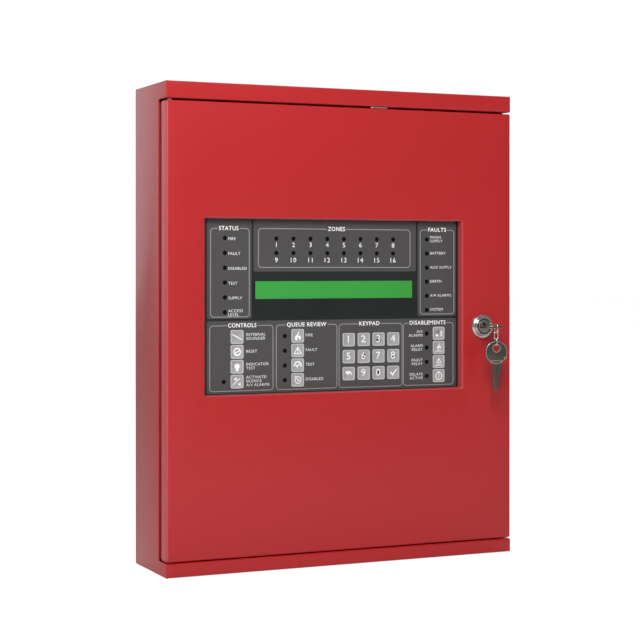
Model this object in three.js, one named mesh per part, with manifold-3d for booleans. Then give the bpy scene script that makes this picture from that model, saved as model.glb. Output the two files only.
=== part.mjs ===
// Wall-mounted fire alarm control panel: a folded steel back box with a hinged door,
// a recessed control fascia, a cam lock with its key and a spare key on a short chain,
// and the boards, power supply and batteries inside.
// Units are millimetres. The origin is the centre of the back face, +X is to the right
// of a person facing the panel, +Y points into the wall and +Z is up.

import * as THREE from 'three';
import { mergeVertices } from 'three/addons/utils/BufferGeometryUtils.js';
import Module from 'manifold-3d';

const wasm = await Module();
wasm.setup();

// ---------------------------------------------------------------- driving dimensions

// Back box
const CASE_WIDTH = 345;
const CASE_HEIGHT = 433;
const CASE_DEPTH = 86;
const SHEET = 1.5;
const TOP_BAND = 15.3;
const BOTTOM_BAND = 12.5;
const BAND_RETURN = 14;
const SIDE_SETBACK = 21;
const KEYHOLE_INSET = 45;
const KEYHOLE_HEAD = 5.5;
const KEYHOLE_SLOT = 2.6;
const KEYHOLE_LENGTH = 12;
const CABLE_SLOT_WIDTH = 120;
const CABLE_SLOT_HEIGHT = 24;
const CABLE_SLOT_DROP = 8;

// Door
const TOP_GAP = 1.6;
const BOTTOM_GAP = 1;
const DOOR_FLANGE = 12;
const DOOR_DEPTH = 24;
const REBATE_STEP = 3.5;
const BEND_RADIUS = 2.5;

// Pin hinge
const PIN_INSET = 6;
const PIN_SETBACK = 8;
const PIN_RADIUS = 2;
const PIN_HEAD_RADIUS = 3.6;
const PIN_HEAD = 1.6;
const PIN_ENGAGEMENT = 9;
const PIN_CLEARANCE = 0.3;

// Recessed fascia
const FASCIA_WIDTH = 257;
const FASCIA_FROM_LEFT = 35.8;
const FASCIA_FROM_TOP = 119.2;
const RECESS_DEPTH = 8;
const RECESS_EDGE = 2;
const RECESS_ARC_STEPS = 4;
const LABEL = 0.5;
const LABEL_CORNER = 1;
const LABEL_CLEARANCE = 0.3;
const PLATE_MARGIN = 9;
const STUD_OFFSET = 5.2;
const STUD_RADIUS = 1.5;
const STUD_CLEARANCE = 0.3;
const STUD_BEHIND_PLATE = 5;
const STUDS_ACROSS = [-0.4, 0, 0.4];
const STUDS_UP = [-0.35, 0.35];
const PILLAR_RADIUS = 2.5;
const PILLAR_LENGTH = 9.7;
const PILLAR_INSET = 9.5;
const BOARD = 1.6;
const BOARD_MARGIN = 4;

// Display, its height measured down from the fascia's top edge
const WINDOW_WIDTH = 157.6;
const WINDOW_HEIGHT = 16.8;
const WINDOW_X = 1.1;
const WINDOW_DROP = 63.4;
const WINDOW_LAP = 1.2;
const WINDOW_CLEARANCE = 0.3;
const MODULE_WIDTH = 182;
const MODULE_HEIGHT = 33.5;
const MODULE_BEZEL = 6;
const MODULE_BEZEL_LAP = 4;
const MODULE_SPACER_RADIUS = 2.5;
const MODULE_SPACER_INSET = 4;

// Keys and lamps on the fascia: across from its centre, and down from its top edge
const BUTTON = 12.4;
const BUTTON_CORNER = 1.6;
const BUTTON_PROUD = 0.8;
const BUTTON_FIT = 0.15;
const BUTTON_TRAVEL = 0.5;
const BUTTON_COLLAR = 1.3;
const BUTTON_COLLAR_THICKNESS = 0.8;
const BUTTON_STEM = 2;
const BUTTON_COLLAR_GAP = 0.3;
const BUTTON_REST_GAP = 0.3;
const BUTTON_SLOT_EXTRA = 0.15;
const COLUMN_GAP = 0.85;
const COLUMN_DROP = 99.1;
const COLUMN_MARGIN = 5.35;
const COLUMNS = { controls: -95.4, queue: -36.7, disable: 107.5 };
const COLUMN_ROWS = 4;
const KEYPAD_X = 14.3;
const KEYPAD_DROP = 103.5;
const KEYPAD_GAP_X = 2.8;
const KEYPAD_GAP_Z = 3.1;
const KEYPAD_ROWS = 3;
const KEYPAD_COLUMNS = 4;
const LED_RADIUS = 2.1;
const LED_CLEARANCE = 0.2;
const LED_COLUMN_DROP = 17.45;
const LED_COLUMN_PITCH = 13.17;
const LED_COLUMN_ROWS = 6;
const LED_COLUMNS = { status: -106.9, faults: 95.1 };
const ZONE_FIRST_X = -57.4;
const ZONE_PITCH = 16.75;
const ZONE_COLUMNS = 8;
const ZONE_DROPS = [17.6, 30.6];
const LED_FROM_BUTTON = 6.25;
const SOUNDER_RADIUS = 12;
const SOUNDER_HEIGHT = 9.5;
const SOUNDER_X = 70;
const SOUNDER_DROP = 28.3;

// Cam lock and keys
const LOCK_FROM_RIGHT = 31;
const TRIM_RADIUS = 11.5;
const TRIM_HEIGHT = 5;
const TRIM_FACE_RADIUS = 8.4;
const BARREL_RADIUS = 9;
const BARREL_LENGTH = 25.5;
const PLUG_RADIUS = 6.2;
const PLUG_CLEARANCE = 0.3;
const PLUG_SHOULDER_RADIUS = 7.6;
const PLUG_SHOULDER = 1;
const PLUG_TAIL = 7;
const PLUG_RECESS = 0.3;
const KEYWAY_DEPTH = 25;
const KEYWAY_NOTCH = 3.3;
const KEYWAY_NOTCH_HALF = 1.1;
const LOCK_NUT = 24;
const LOCK_NUT_HEIGHT = 4;
const LOCK_NUT_CLEARANCE = 0.05;
const CAM_LENGTH = 26;
const CAM_WIDTH = 10;
const CAM_HUB_RADIUS = 7.5;
const CAM_THICKNESS = 2;
const CAM_GAP = 0.5;
const CAM_OFF_SHOULDER = 0.4;
const CAM_HOLE_CLEARANCE = 0.3;
const CAM_SCREW_RADIUS = 2;
const CAM_SCREW_CLEARANCE = 0.3;
const CAM_SCREW_HEAD = 4.4;
const CAM_SCREW_HEAD_HEIGHT = 2.7;
const CATCH_REACH = 18;
const CATCH_HEIGHT = 24;
const CATCH_LENGTH = 21;

const KEY_THICKNESS = 2;
const KEY_BOW_RADIUS = 11;
const KEY_SHANK = 25.2;
const KEY_STOP_HEIGHT = 1.8;
const KEY_STOP_WIDTH = 1.6;
const KEY_BOW_SUNK = 0.2;
const KEY_HOLE_RADIUS = 3.3;
const KEY_HOLE_OFFSET = 3.9;
const KEY_INSERTED = 23.5;
const KEY_BACK_EDGE = 3.7;
const KEY_CUT_EDGE = 4.6;
const KEY_CLEARANCE = 0.3;
const CHAIN_WIRE = 0.55;
const CHAIN_PLAY = 0.3;
const FIRST_LINK = 7.4;
const MIDDLE_LINK = 6.6;
const MIDDLE_LINK_WIDTH = 2.8;
const SPARE_KEY_TURN = 9;

// Inside the box
const CHASSIS_STANDOFF = 6.5;
const CHASSIS_INSET = 12;
const CHASSIS_FROM_TOP = 30;
const CHASSIS_OVER_BATTERY = 16;
const CHASSIS_PILLAR = 4;
const CHASSIS_PILLAR_INSET = 12;
const MAIN_BOARD_WIDTH = 280;
const MAIN_BOARD_HEIGHT = 116;
const MAIN_BOARD_STANDOFF = 8;
const MAIN_BOARD_DROP = 8;
const MAIN_BOARD_PILLAR = 3;
const MAIN_BOARD_PILLAR_INSET = 8;
const TERMINAL_WIDTH = 128;
const TERMINAL_HEIGHT = 14;
const TERMINAL_DEPTH = 18;
const TERMINAL_GAP = 12;
const TERMINAL_DROP = 3;
const TERMINAL_STEP = 0.6;
const SUPPLY_WIDTH = 190;
const SUPPLY_HEIGHT = 102;
const SUPPLY_DEPTH = 38;
const SUPPLY_FROM_RIGHT = 32;
const BOARD_TO_SUPPLY = 18;
const TRANSFORMER_WIDTH = 75;
const TRANSFORMER_HEIGHT = 62;
const TRANSFORMER_CORE = 36;
const TRANSFORMER_COIL_WIDTH = 48;
const TRANSFORMER_COIL_HEIGHT = 84;
const TRANSFORMER_COIL_DEPTH = 42;
const TRANSFORMER_COIL_OFF = 4;
const FROM_CHASSIS_EDGE = 10;
const MAINS_TERMINAL_WIDTH = 46;
const MAINS_TERMINAL_HEIGHT = 22;
const MAINS_TERMINAL_DEPTH = 20;
const MAINS_ABOVE_EDGE = 8;
const MAINS_TO_FUSE = 14;
const FUSE_LENGTH = 40;
const FUSE_RADIUS = 6.5;
const FUSE_BASE = 4;
const FUSE_CAP_INSET = 3;
const FUSE_SUNK = 0.7;
const BATTERY_WIDTH = 151;
const BATTERY_DEPTH = 65;
const BATTERY_HEIGHT = 94;
const BATTERY_GAP = 5;
const BATTERY_OFF_BACK = 1;
const BATTERY_TAB = 6.3;
const BATTERY_TAB_INSET = 12;
const BATTERY_TAB_HEIGHT = 6;
const BATTERY_TAB_THICKNESS = 1;
const BATTERY_STOP_HEIGHT = 30;
const BATTERY_STOP_WIDTH = 240;
const BATTERY_STOP_FOOT = 10;
const BATTERY_STOP_GAP = 0.5;
const EARTH_STUD_RADIUS = 3;
const EARTH_STUD_LENGTH = 22;
const EARTH_NUT = 10;
const EARTH_NUT_HEIGHT = 5;
const EARTH_NUT_OFF = 1;
const EARTH_FROM_EDGE = 22;
const EARTH_ABOVE_EDGE = 18;

// How deep a joined solid runs into its neighbour, and how far a cutter runs past a face
const WELD = 0.5;
const PAST = 1;

// ---------------------------------------------------------------- shape helpers

// A closed three.js geometry as a solid, with its shared vertices merged.
function solid(geometry) {
  const bare = geometry.clone();
  for (const name of Object.keys(bare.attributes)) {
    if (name !== 'position') bare.deleteAttribute(name);
  }
  const merged = mergeVertices(bare, 1e-4);
  return new wasm.Manifold(new wasm.Mesh({
    numProp: 3,
    vertProperties: new Float32Array(merged.attributes.position.array),
    triVerts: new Uint32Array(merged.index.array),
  }));
}

// A solid as a three.js geometry.
function geometryOf(body) {
  const mesh = body.getMesh();
  const geometry = new THREE.BufferGeometry();
  geometry.setAttribute('position', new THREE.BufferAttribute(mesh.vertProperties, 3));
  geometry.setIndex(new THREE.BufferAttribute(mesh.triVerts, 1));
  const flat = geometry.toNonIndexed();
  flat.computeVertexNormals();
  return flat;
}

function join(...bodies) {
  return bodies.reduce((whole, body) => whole.add(body));
}

function cut(body, ...tools) {
  return tools.reduce((rest, tool) => rest.subtract(tool), body);
}

// A box between two values along each axis.
function block([x0, x1], [y0, y1], [z0, z1]) {
  const box = new THREE.BoxGeometry(x1 - x0, y1 - y0, z1 - z0);
  box.translate((x0 + x1) / 2, (y0 + y1) / 2, (z0 + z1) / 2);
  return solid(box);
}

// The two ends of a length centred on a value.
function span(middle, size) {
  return [middle - size / 2, middle + size / 2];
}

// A round bar along Y, between two depths.
function barY(x, z, radius, y0, y1, sides = 24) {
  const bar = new THREE.CylinderGeometry(radius, radius, y1 - y0, sides);
  bar.translate(x, (y0 + y1) / 2, z);
  return solid(bar);
}

// A round bar along Z, between two heights.
function barZ(x, y, radius, z0, z1, sides = 24) {
  const bar = new THREE.CylinderGeometry(radius, radius, z1 - z0, sides);
  bar.rotateX(Math.PI / 2);
  bar.translate(x, y, (z0 + z1) / 2);
  return solid(bar);
}

// A round bar along X, between two values.
function barX(y, z, radius, x0, x1, sides = 24) {
  const bar = new THREE.CylinderGeometry(radius, radius, x1 - x0, sides);
  bar.rotateZ(Math.PI / 2);
  bar.translate((x0 + x1) / 2, y, z);
  return solid(bar);
}

// An outline in X and Z, given depth along Y. The outline is drawn as seen from -Y.
function slabY(outline, y0, y1, curveSegments = 6) {
  const slab = new THREE.ExtrudeGeometry(outline, {
    depth: y1 - y0,
    bevelEnabled: false,
    curveSegments,
  });
  slab.rotateX(Math.PI / 2);
  slab.translate(0, y1, 0);
  return solid(slab);
}

// A rectangle with rounded corners, centred on a point.
function roundedRectangle(x, z, width, height, radius) {
  const shape = new THREE.Shape();
  const [l, r] = [x - width / 2, x + width / 2];
  const [b, t] = [z - height / 2, z + height / 2];
  shape.moveTo(l + radius, b);
  shape.lineTo(r - radius, b);
  shape.absarc(r - radius, b + radius, radius, -Math.PI / 2, 0);
  shape.lineTo(r, t - radius);
  shape.absarc(r - radius, t - radius, radius, 0, Math.PI / 2);
  shape.lineTo(l + radius, t);
  shape.absarc(l + radius, t - radius, radius, Math.PI / 2, Math.PI);
  shape.lineTo(l, b + radius);
  shape.absarc(l + radius, b + radius, radius, Math.PI, Math.PI * 1.5);
  return shape;
}

// A hexagon across-flats size, centred on a point in X and Z.
function hexagon(x, z, acrossFlats) {
  const radius = acrossFlats / Math.sqrt(3);
  const corners = [];
  for (let i = 0; i < 6; i += 1) {
    const angle = i * Math.PI / 3;
    corners.push(new THREE.Vector2(x + radius * Math.cos(angle), z + radius * Math.sin(angle)));
  }
  return new THREE.Shape(corners);
}

// A wire bent to an oval loop: two half circles joined by straight sides, in X and Z.
class Oval extends THREE.Curve {
  constructor(radius, straight) {
    super();
    this.radius = radius;
    this.straight = straight;
  }

  getPoint(t, target = new THREE.Vector3()) {
    const { radius, straight } = this;
    const bend = Math.PI * radius;
    let run = (t % 1) * 2 * (bend + straight);
    const side = run < bend + straight ? 1 : -1;
    if (side < 0) run -= bend + straight;
    if (run < bend) {
      const angle = run / radius;
      return target.set(side * radius * Math.cos(angle), 0,
        side * (straight / 2 + radius * Math.sin(angle)));
    }
    return target.set(-side * radius, 0, side * (straight / 2 - (run - bend)));
  }
}

function ovalLink(innerWidth, innerLength, wire) {
  const radius = innerWidth / 2 + wire;
  const path = new Oval(radius, innerLength - innerWidth);
  return new THREE.TubeGeometry(path, 22, wire, 6, true);
}

// ---------------------------------------------------------------- places worked out

const RIGHT = CASE_WIDTH / 2;
const LEFT = -RIGHT;
const TOP = CASE_HEIGHT / 2;
const BOTTOM = -TOP;
const FRONT = -CASE_DEPTH;
const DOOR_TOP = TOP - TOP_BAND - TOP_GAP;
const DOOR_BOTTOM = BOTTOM + BOTTOM_BAND + BOTTOM_GAP;
const SIDE_EDGE = FRONT + SIDE_SETBACK;
const DOOR_REAR = FRONT + DOOR_DEPTH;

const PIN_X = LEFT + PIN_INSET;
const PIN_Y = FRONT + PIN_SETBACK;

const BUTTON_PITCH = BUTTON + COLUMN_GAP;
const FASCIA_HEIGHT = COLUMN_DROP + COLUMN_ROWS * BUTTON_PITCH - COLUMN_GAP + COLUMN_MARGIN;
const FASCIA_X = LEFT + FASCIA_FROM_LEFT + FASCIA_WIDTH / 2;
const FASCIA_TOP = TOP - FASCIA_FROM_TOP;
const FASCIA_Z = FASCIA_TOP - FASCIA_HEIGHT / 2;
const LABEL_FACE = FRONT + RECESS_DEPTH;
const PLATE_FACE = LABEL_FACE + LABEL;
const PLATE_BACK = PLATE_FACE + SHEET;
const BOARD_FACE = PLATE_BACK + PILLAR_LENGTH;
const BOARD_BACK = BOARD_FACE + BOARD;

const LOCK_X = RIGHT - LOCK_FROM_RIGHT;
const LOCK_Z = (DOOR_TOP + DOOR_BOTTOM) / 2;
const LOCK_FACE = FRONT - TRIM_HEIGHT;
const BARREL_BACK = FRONT + BARREL_LENGTH;
const SHOULDER_BACK = BARREL_BACK + PLUG_CLEARANCE + PLUG_SHOULDER;
const CAM_FACE = SHOULDER_BACK + CAM_OFF_SHOULDER;
const CAM_BACK = CAM_FACE + CAM_THICKNESS;

const KEY_LENGTH = 2 * KEY_BOW_RADIUS + KEY_SHANK - KEY_BOW_SUNK;

const BACK_INSIDE = -SHEET;
const CHASSIS_BACK = BACK_INSIDE - CHASSIS_STANDOFF;
const CHASSIS_FACE = CHASSIS_BACK - SHEET;
const CHASSIS_TOP = TOP - CHASSIS_FROM_TOP;
const BATTERY_TOP = BOTTOM + SHEET + BATTERY_HEIGHT;
const CHASSIS_BOTTOM = BATTERY_TOP + CHASSIS_OVER_BATTERY;
const MAIN_BOARD_BACK = CHASSIS_FACE - MAIN_BOARD_STANDOFF;
const MAIN_BOARD_FACE = MAIN_BOARD_BACK - BOARD;
const MAIN_BOARD_TOP = CHASSIS_TOP - MAIN_BOARD_DROP;
const MAIN_BOARD_BOTTOM = MAIN_BOARD_TOP - MAIN_BOARD_HEIGHT;
const SUPPLY_TOP = MAIN_BOARD_BOTTOM - BOARD_TO_SUPPLY;
const SUPPLY_BOTTOM = SUPPLY_TOP - SUPPLY_HEIGHT;

// The height of a row in the key columns.
function columnRowZ(row) {
  return FASCIA_TOP - COLUMN_DROP - BUTTON / 2 - row * BUTTON_PITCH;
}

// Every key on the fascia: its name and its centre.
function buttonPlaces() {
  const places = [];
  for (const [name, x] of Object.entries(COLUMNS)) {
    for (let row = 0; row < COLUMN_ROWS; row += 1) {
      places.push({
        name: `button_${name}_${row + 1}`,
        x: FASCIA_X + x,
        z: columnRowZ(row),
      });
    }
  }
  for (let row = 0; row < KEYPAD_ROWS; row += 1) {
    for (let column = 0; column < KEYPAD_COLUMNS; column += 1) {
      places.push({
        name: `button_keypad_${row * KEYPAD_COLUMNS + column + 1}`,
        x: FASCIA_X + KEYPAD_X + column * (BUTTON + KEYPAD_GAP_X),
        z: FASCIA_TOP - KEYPAD_DROP - BUTTON / 2 - row * (BUTTON + KEYPAD_GAP_Z),
      });
    }
  }
  return places;
}

// The centre of every indicator lamp.
function lampPlaces() {
  const places = [];
  for (const x of Object.values(LED_COLUMNS)) {
    for (let row = 0; row < LED_COLUMN_ROWS; row += 1) {
      places.push([FASCIA_X + x, FASCIA_TOP - LED_COLUMN_DROP - row * LED_COLUMN_PITCH]);
    }
  }
  for (const drop of ZONE_DROPS) {
    for (let column = 0; column < ZONE_COLUMNS; column += 1) {
      places.push([FASCIA_X + ZONE_FIRST_X + column * ZONE_PITCH, FASCIA_TOP - drop]);
    }
  }
  for (const [name, x] of Object.entries(COLUMNS)) {
    const rows = name === 'controls' ? [3] : [0, 1, 2, 3];
    for (const row of rows) {
      places.push([FASCIA_X + x - BUTTON / 2 - LED_FROM_BUTTON, columnRowZ(row)]);
    }
  }
  return places;
}

const BUTTONS = buttonPlaces();
const LAMPS = lampPlaces();

// Studs welded behind the door, around the fascia opening.
function studPlaces() {
  const dx = FASCIA_WIDTH / 2 + STUD_OFFSET;
  const dz = FASCIA_HEIGHT / 2 + STUD_OFFSET;
  const places = [];
  for (const side of [-1, 1]) {
    for (const share of STUDS_ACROSS) {
      places.push([FASCIA_X + share * FASCIA_WIDTH, FASCIA_Z + side * dz]);
    }
    for (const share of STUDS_UP) {
      places.push([FASCIA_X + side * dx, FASCIA_Z + share * FASCIA_HEIGHT]);
    }
  }
  return places;
}

// ---------------------------------------------------------------- materials

function material(color, roughness, metalness) {
  return new THREE.MeshStandardMaterial({ color, roughness, metalness });
}

const materials = {
  paint: material(0xb8302f, 0.42, 0),
  label: material(0x3a3d3d, 0.55, 0),
  steel: material(0xb9bcbf, 0.38, 1),
  nickel: material(0x8f8a80, 0.3, 1),
  keyMetal: material(0x6b665e, 0.36, 1),
  green: material(0x3fa644, 0.3, 0),
  board: material(0x1f5a34, 0.5, 0),
  black: material(0x1b1c1d, 0.55, 0),
  terminal: material(0x2f7a46, 0.5, 0),
  rubber: material(0xa5a6a6, 0.6, 0),
  copper: material(0x8a4a2a, 0.4, 0.6),
  battery: material(0x2a2c30, 0.6, 0),
};

const panel = new THREE.Group();

// Adds one named piece. A solid may be moved by a place and a turn about the Z axis.
function piece(name, body, look, place = [0, 0, 0], turnZ = 0) {
  const geometry = body.isBufferGeometry ? body : geometryOf(body);
  const mesh = new THREE.Mesh(geometry, look);
  mesh.name = name;
  mesh.position.set(...place);
  mesh.rotation.z = turnZ;
  panel.add(mesh);
  return mesh;
}

// ---------------------------------------------------------------- back box

// A keyhole for a wall screw: a round mouth with a narrow slot above it.
function keyhole(x, z) {
  const through = [BACK_INSIDE - PAST, PAST];
  return join(
    barY(x, z, KEYHOLE_HEAD, ...through, 16),
    barY(x, z + KEYHOLE_LENGTH, KEYHOLE_SLOT, ...through, 12),
    block([x - KEYHOLE_SLOT, x + KEYHOLE_SLOT], through, [z, z + KEYHOLE_LENGTH]),
  );
}

// The band across the front above or below the door, with its folded return.
function band(edge, height, side) {
  const inner = edge - side * height;
  const range = (a, b) => (a < b ? [a, b] : [b, a]);
  return join(
    block([LEFT, RIGHT], [FRONT, FRONT + SHEET], range(inner, edge)),
    block([LEFT, RIGHT], [FRONT, FRONT + BAND_RETURN], range(inner, inner + side * SHEET)),
    block([LEFT, LEFT + SHEET], [FRONT, 0], range(inner, edge)),
    block([RIGHT - SHEET, RIGHT], [FRONT, 0], range(inner, edge)),
  );
}

function backBox() {
  const shell = join(
    block([LEFT, RIGHT], [BACK_INSIDE, 0], [BOTTOM, TOP]),
    block([LEFT, RIGHT], [FRONT, 0], [TOP - SHEET, TOP]),
    block([LEFT, RIGHT], [FRONT, 0], [BOTTOM, BOTTOM + SHEET]),
    block([LEFT, LEFT + SHEET], [SIDE_EDGE, 0], [BOTTOM, TOP]),
    block([RIGHT - SHEET, RIGHT], [SIDE_EDGE, 0], [BOTTOM, TOP]),
    band(TOP, TOP_BAND, 1),
    band(BOTTOM, BOTTOM_BAND, -1),
  );
  const slotTop = TOP - CABLE_SLOT_DROP;
  return cut(
    shell,
    barZ(PIN_X, PIN_Y, PIN_RADIUS + PIN_CLEARANCE, BOTTOM + SHEET + PAST, TOP - SHEET - PAST, 16),
    keyhole(LEFT + KEYHOLE_INSET, TOP - KEYHOLE_INSET - KEYHOLE_LENGTH),
    keyhole(RIGHT - KEYHOLE_INSET, TOP - KEYHOLE_INSET - KEYHOLE_LENGTH),
    keyhole(LEFT + KEYHOLE_INSET, BOTTOM + KEYHOLE_INSET),
    keyhole(RIGHT - KEYHOLE_INSET, BOTTOM + KEYHOLE_INSET),
    block([-CABLE_SLOT_WIDTH / 2, CABLE_SLOT_WIDTH / 2], [BACK_INSIDE - PAST, PAST],
      [slotTop - CABLE_SLOT_HEIGHT, slotTop]),
  );
}

// ---------------------------------------------------------------- door

// The folded sheet seen from above: face, side flanges and the set-in rear edges.
function doorSection() {
  const flange = FRONT + DOOR_FLANGE;
  const inner = BEND_RADIUS - SHEET;
  const shape = new THREE.Shape();
  shape.moveTo(LEFT + REBATE_STEP, DOOR_REAR);
  shape.lineTo(LEFT + REBATE_STEP, flange);
  shape.lineTo(LEFT, flange);
  shape.lineTo(LEFT, FRONT + BEND_RADIUS);
  shape.absarc(LEFT + BEND_RADIUS, FRONT + BEND_RADIUS, BEND_RADIUS, Math.PI, Math.PI * 1.5);
  shape.lineTo(RIGHT - BEND_RADIUS, FRONT);
  shape.absarc(RIGHT - BEND_RADIUS, FRONT + BEND_RADIUS, BEND_RADIUS, Math.PI * 1.5, Math.PI * 2);
  shape.lineTo(RIGHT, flange);
  shape.lineTo(RIGHT - REBATE_STEP, flange);
  shape.lineTo(RIGHT - REBATE_STEP, DOOR_REAR);
  shape.lineTo(RIGHT - REBATE_STEP - SHEET, DOOR_REAR);
  shape.lineTo(RIGHT - REBATE_STEP - SHEET, flange - SHEET);
  shape.lineTo(RIGHT - SHEET, flange - SHEET);
  shape.absarc(RIGHT - BEND_RADIUS, FRONT + BEND_RADIUS, inner, 0, -Math.PI / 2, true);
  shape.absarc(LEFT + BEND_RADIUS, FRONT + BEND_RADIUS, inner, -Math.PI / 2, -Math.PI, true);
  shape.lineTo(LEFT + SHEET, flange - SHEET);
  shape.lineTo(LEFT + REBATE_STEP + SHEET, flange - SHEET);
  shape.lineTo(LEFT + REBATE_STEP + SHEET, DOOR_REAR);
  return shape;
}

// A closed body through rings of points, one ring per depth.
function loft(rings) {
  const count = rings[0].length;
  const positions = rings.flat(2);
  const index = [];
  for (let level = 0; level + 1 < rings.length; level += 1) {
    for (let i = 0; i < count; i += 1) {
      const a = level * count + i;
      const b = level * count + (i + 1) % count;
      index.push(a, b + count, b, a, a + count, b + count);
    }
  }
  for (let i = 1; i + 1 < count; i += 1) {
    const last = (rings.length - 1) * count;
    index.push(0, i, i + 1, last, last + i + 1, last + i);
  }
  const geometry = new THREE.BufferGeometry();
  geometry.setAttribute('position', new THREE.Float32BufferAttribute(positions, 3));
  geometry.setIndex(index);
  return solid(geometry);
}

// The fascia opening as a cutter: straight walls with a quarter-round front edge.
function openingCutter(rear) {
  const ring = (y, grow) => [
    [FASCIA_X - FASCIA_WIDTH / 2 - grow, y, FASCIA_Z - FASCIA_HEIGHT / 2 - grow],
    [FASCIA_X + FASCIA_WIDTH / 2 + grow, y, FASCIA_Z - FASCIA_HEIGHT / 2 - grow],
    [FASCIA_X + FASCIA_WIDTH / 2 + grow, y, FASCIA_Z + FASCIA_HEIGHT / 2 + grow],
    [FASCIA_X - FASCIA_WIDTH / 2 - grow, y, FASCIA_Z + FASCIA_HEIGHT / 2 + grow],
  ];
  const rings = [ring(FRONT - PAST, RECESS_EDGE)];
  for (let step = 0; step <= RECESS_ARC_STEPS; step += 1) {
    const angle = step / RECESS_ARC_STEPS * Math.PI / 2;
    const depth = RECESS_EDGE * (1 - Math.cos(angle));
    rings.push(ring(FRONT + depth, RECESS_EDGE * (1 - Math.sin(angle))));
  }
  rings.push(ring(rear, 0));
  return loft(rings);
}

function doorPanel() {
  const sheet = new THREE.ExtrudeGeometry(doorSection(), {
    depth: DOOR_TOP - DOOR_BOTTOM,
    bevelEnabled: false,
    curveSegments: 5,
  });
  sheet.translate(0, 0, DOOR_BOTTOM);
  const flange = FRONT + DOOR_FLANGE;
  const inside = [LEFT + SHEET / 2, RIGHT - SHEET / 2];
  const wall = RECESS_EDGE + SHEET;
  const left = FASCIA_X - FASCIA_WIDTH / 2;
  const bottom = FASCIA_Z - FASCIA_HEIGHT / 2;
  const studs = studPlaces().map(([x, z]) => (
    barY(x, z, STUD_RADIUS, FRONT + SHEET / 2, PLATE_BACK + STUD_BEHIND_PLATE, 10)));
  const body = join(
    solid(sheet),
    block(inside, [FRONT + SHEET / 2, flange], [DOOR_TOP - SHEET, DOOR_TOP]),
    block(inside, [FRONT + SHEET / 2, flange], [DOOR_BOTTOM, DOOR_BOTTOM + SHEET]),
    block([left - wall, left + FASCIA_WIDTH + wall], [FRONT + SHEET / 2, FRONT + wall],
      [bottom - wall, bottom + FASCIA_HEIGHT + wall]),
    block([left - SHEET, left + FASCIA_WIDTH + SHEET], [FRONT + SHEET / 2, PLATE_FACE],
      [bottom - SHEET, bottom + FASCIA_HEIGHT + SHEET]),
    ...studs,
  );
  return cut(
    body,
    openingCutter(PLATE_FACE + PAST),
    barZ(PIN_X, PIN_Y, PIN_RADIUS + PIN_CLEARANCE, DOOR_BOTTOM - PAST, DOOR_TOP + PAST, 16),
    barY(LOCK_X, LOCK_Z, BARREL_RADIUS + PLUG_CLEARANCE, FRONT - PAST, FRONT + SHEET + PAST, 24),
  );
}

// A hinge pin: a headed pin dropped through the band's return into the door's flange.
function hingePin(headZ, side) {
  const range = (a, b) => (a < b ? [a, b] : [b, a]);
  const tip = headZ - side * (SHEET + TOP_GAP + PIN_ENGAGEMENT);
  return join(
    barZ(PIN_X, PIN_Y, PIN_RADIUS, ...range(tip, headZ), 16),
    barZ(PIN_X, PIN_Y, PIN_HEAD_RADIUS, ...range(headZ, headZ + side * PIN_HEAD), 16),
  );
}

// ---------------------------------------------------------------- fascia

function windowCutter(grow, y0, y1) {
  const x = FASCIA_X + WINDOW_X;
  const z = FASCIA_TOP - WINDOW_DROP;
  return block(
    [x - WINDOW_WIDTH / 2 - grow, x + WINDOW_WIDTH / 2 + grow],
    [y0, y1],
    [z - WINDOW_HEIGHT / 2 - grow, z + WINDOW_HEIGHT / 2 + grow],
  );
}

function fasciaLabel() {
  const width = FASCIA_WIDTH - 2 * LABEL_CLEARANCE;
  const height = FASCIA_HEIGHT - 2 * LABEL_CLEARANCE;
  const label = roundedRectangle(FASCIA_X, FASCIA_Z, width, height, LABEL_CORNER);
  const holes = BUTTONS.map(({ x, z }) => (
    roundedRectangle(x, z, BUTTON + 2 * BUTTON_FIT, BUTTON + 2 * BUTTON_FIT,
      BUTTON_CORNER + BUTTON_FIT)));
  label.holes.push(...holes);
  return cut(
    slabY(label, LABEL_FACE, PLATE_FACE, 1),
    windowCutter(0, LABEL_FACE - PAST, PLATE_FACE + PAST),
  );
}

function fasciaPlate() {
  const width = FASCIA_WIDTH + 2 * PLATE_MARGIN;
  const height = FASCIA_HEIGHT + 2 * PLATE_MARGIN;
  const through = [PLATE_FACE - PAST, PLATE_BACK + PAST];
  const plate = block(
    [FASCIA_X - width / 2, FASCIA_X + width / 2],
    [PLATE_FACE, PLATE_BACK],
    [FASCIA_Z - height / 2, FASCIA_Z + height / 2],
  );
  const half = BUTTON / 2 + BUTTON_FIT + BUTTON_SLOT_EXTRA;
  const slots = BUTTONS.map(({ name, x, z }) => {
    const web = name.includes('keypad') ? 0 : COLUMN_GAP / 2;
    return block([x - half, x + half], through, [z - half - web, z + half + web]);
  });
  const lamps = LAMPS.map(([x, z]) => barY(x, z, LED_RADIUS + LED_CLEARANCE, ...through, 6));
  const studs = studPlaces().map(([x, z]) => (
    barY(x, z, STUD_RADIUS + STUD_CLEARANCE, ...through, 10)));
  const pillars = pillarPlaces().map(([x, z]) => (
    barY(x, z, PILLAR_RADIUS, PLATE_BACK - WELD, BOARD_FACE, 12)));
  const pierced = cut(plate, ...slots, ...lamps, ...studs,
    windowCutter(WINDOW_LAP + WINDOW_CLEARANCE, ...through));
  return join(pierced, ...pillars);
}

// Pillars that carry the display board behind the plate.
function pillarPlaces() {
  const dx = FASCIA_WIDTH / 2 - PILLAR_INSET;
  const dz = FASCIA_HEIGHT / 2 - PILLAR_INSET;
  const places = [];
  for (const x of [-dx, 0, dx]) {
    for (const z of [-dz, dz]) places.push([FASCIA_X + x, FASCIA_Z + z]);
  }
  return places;
}

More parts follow.
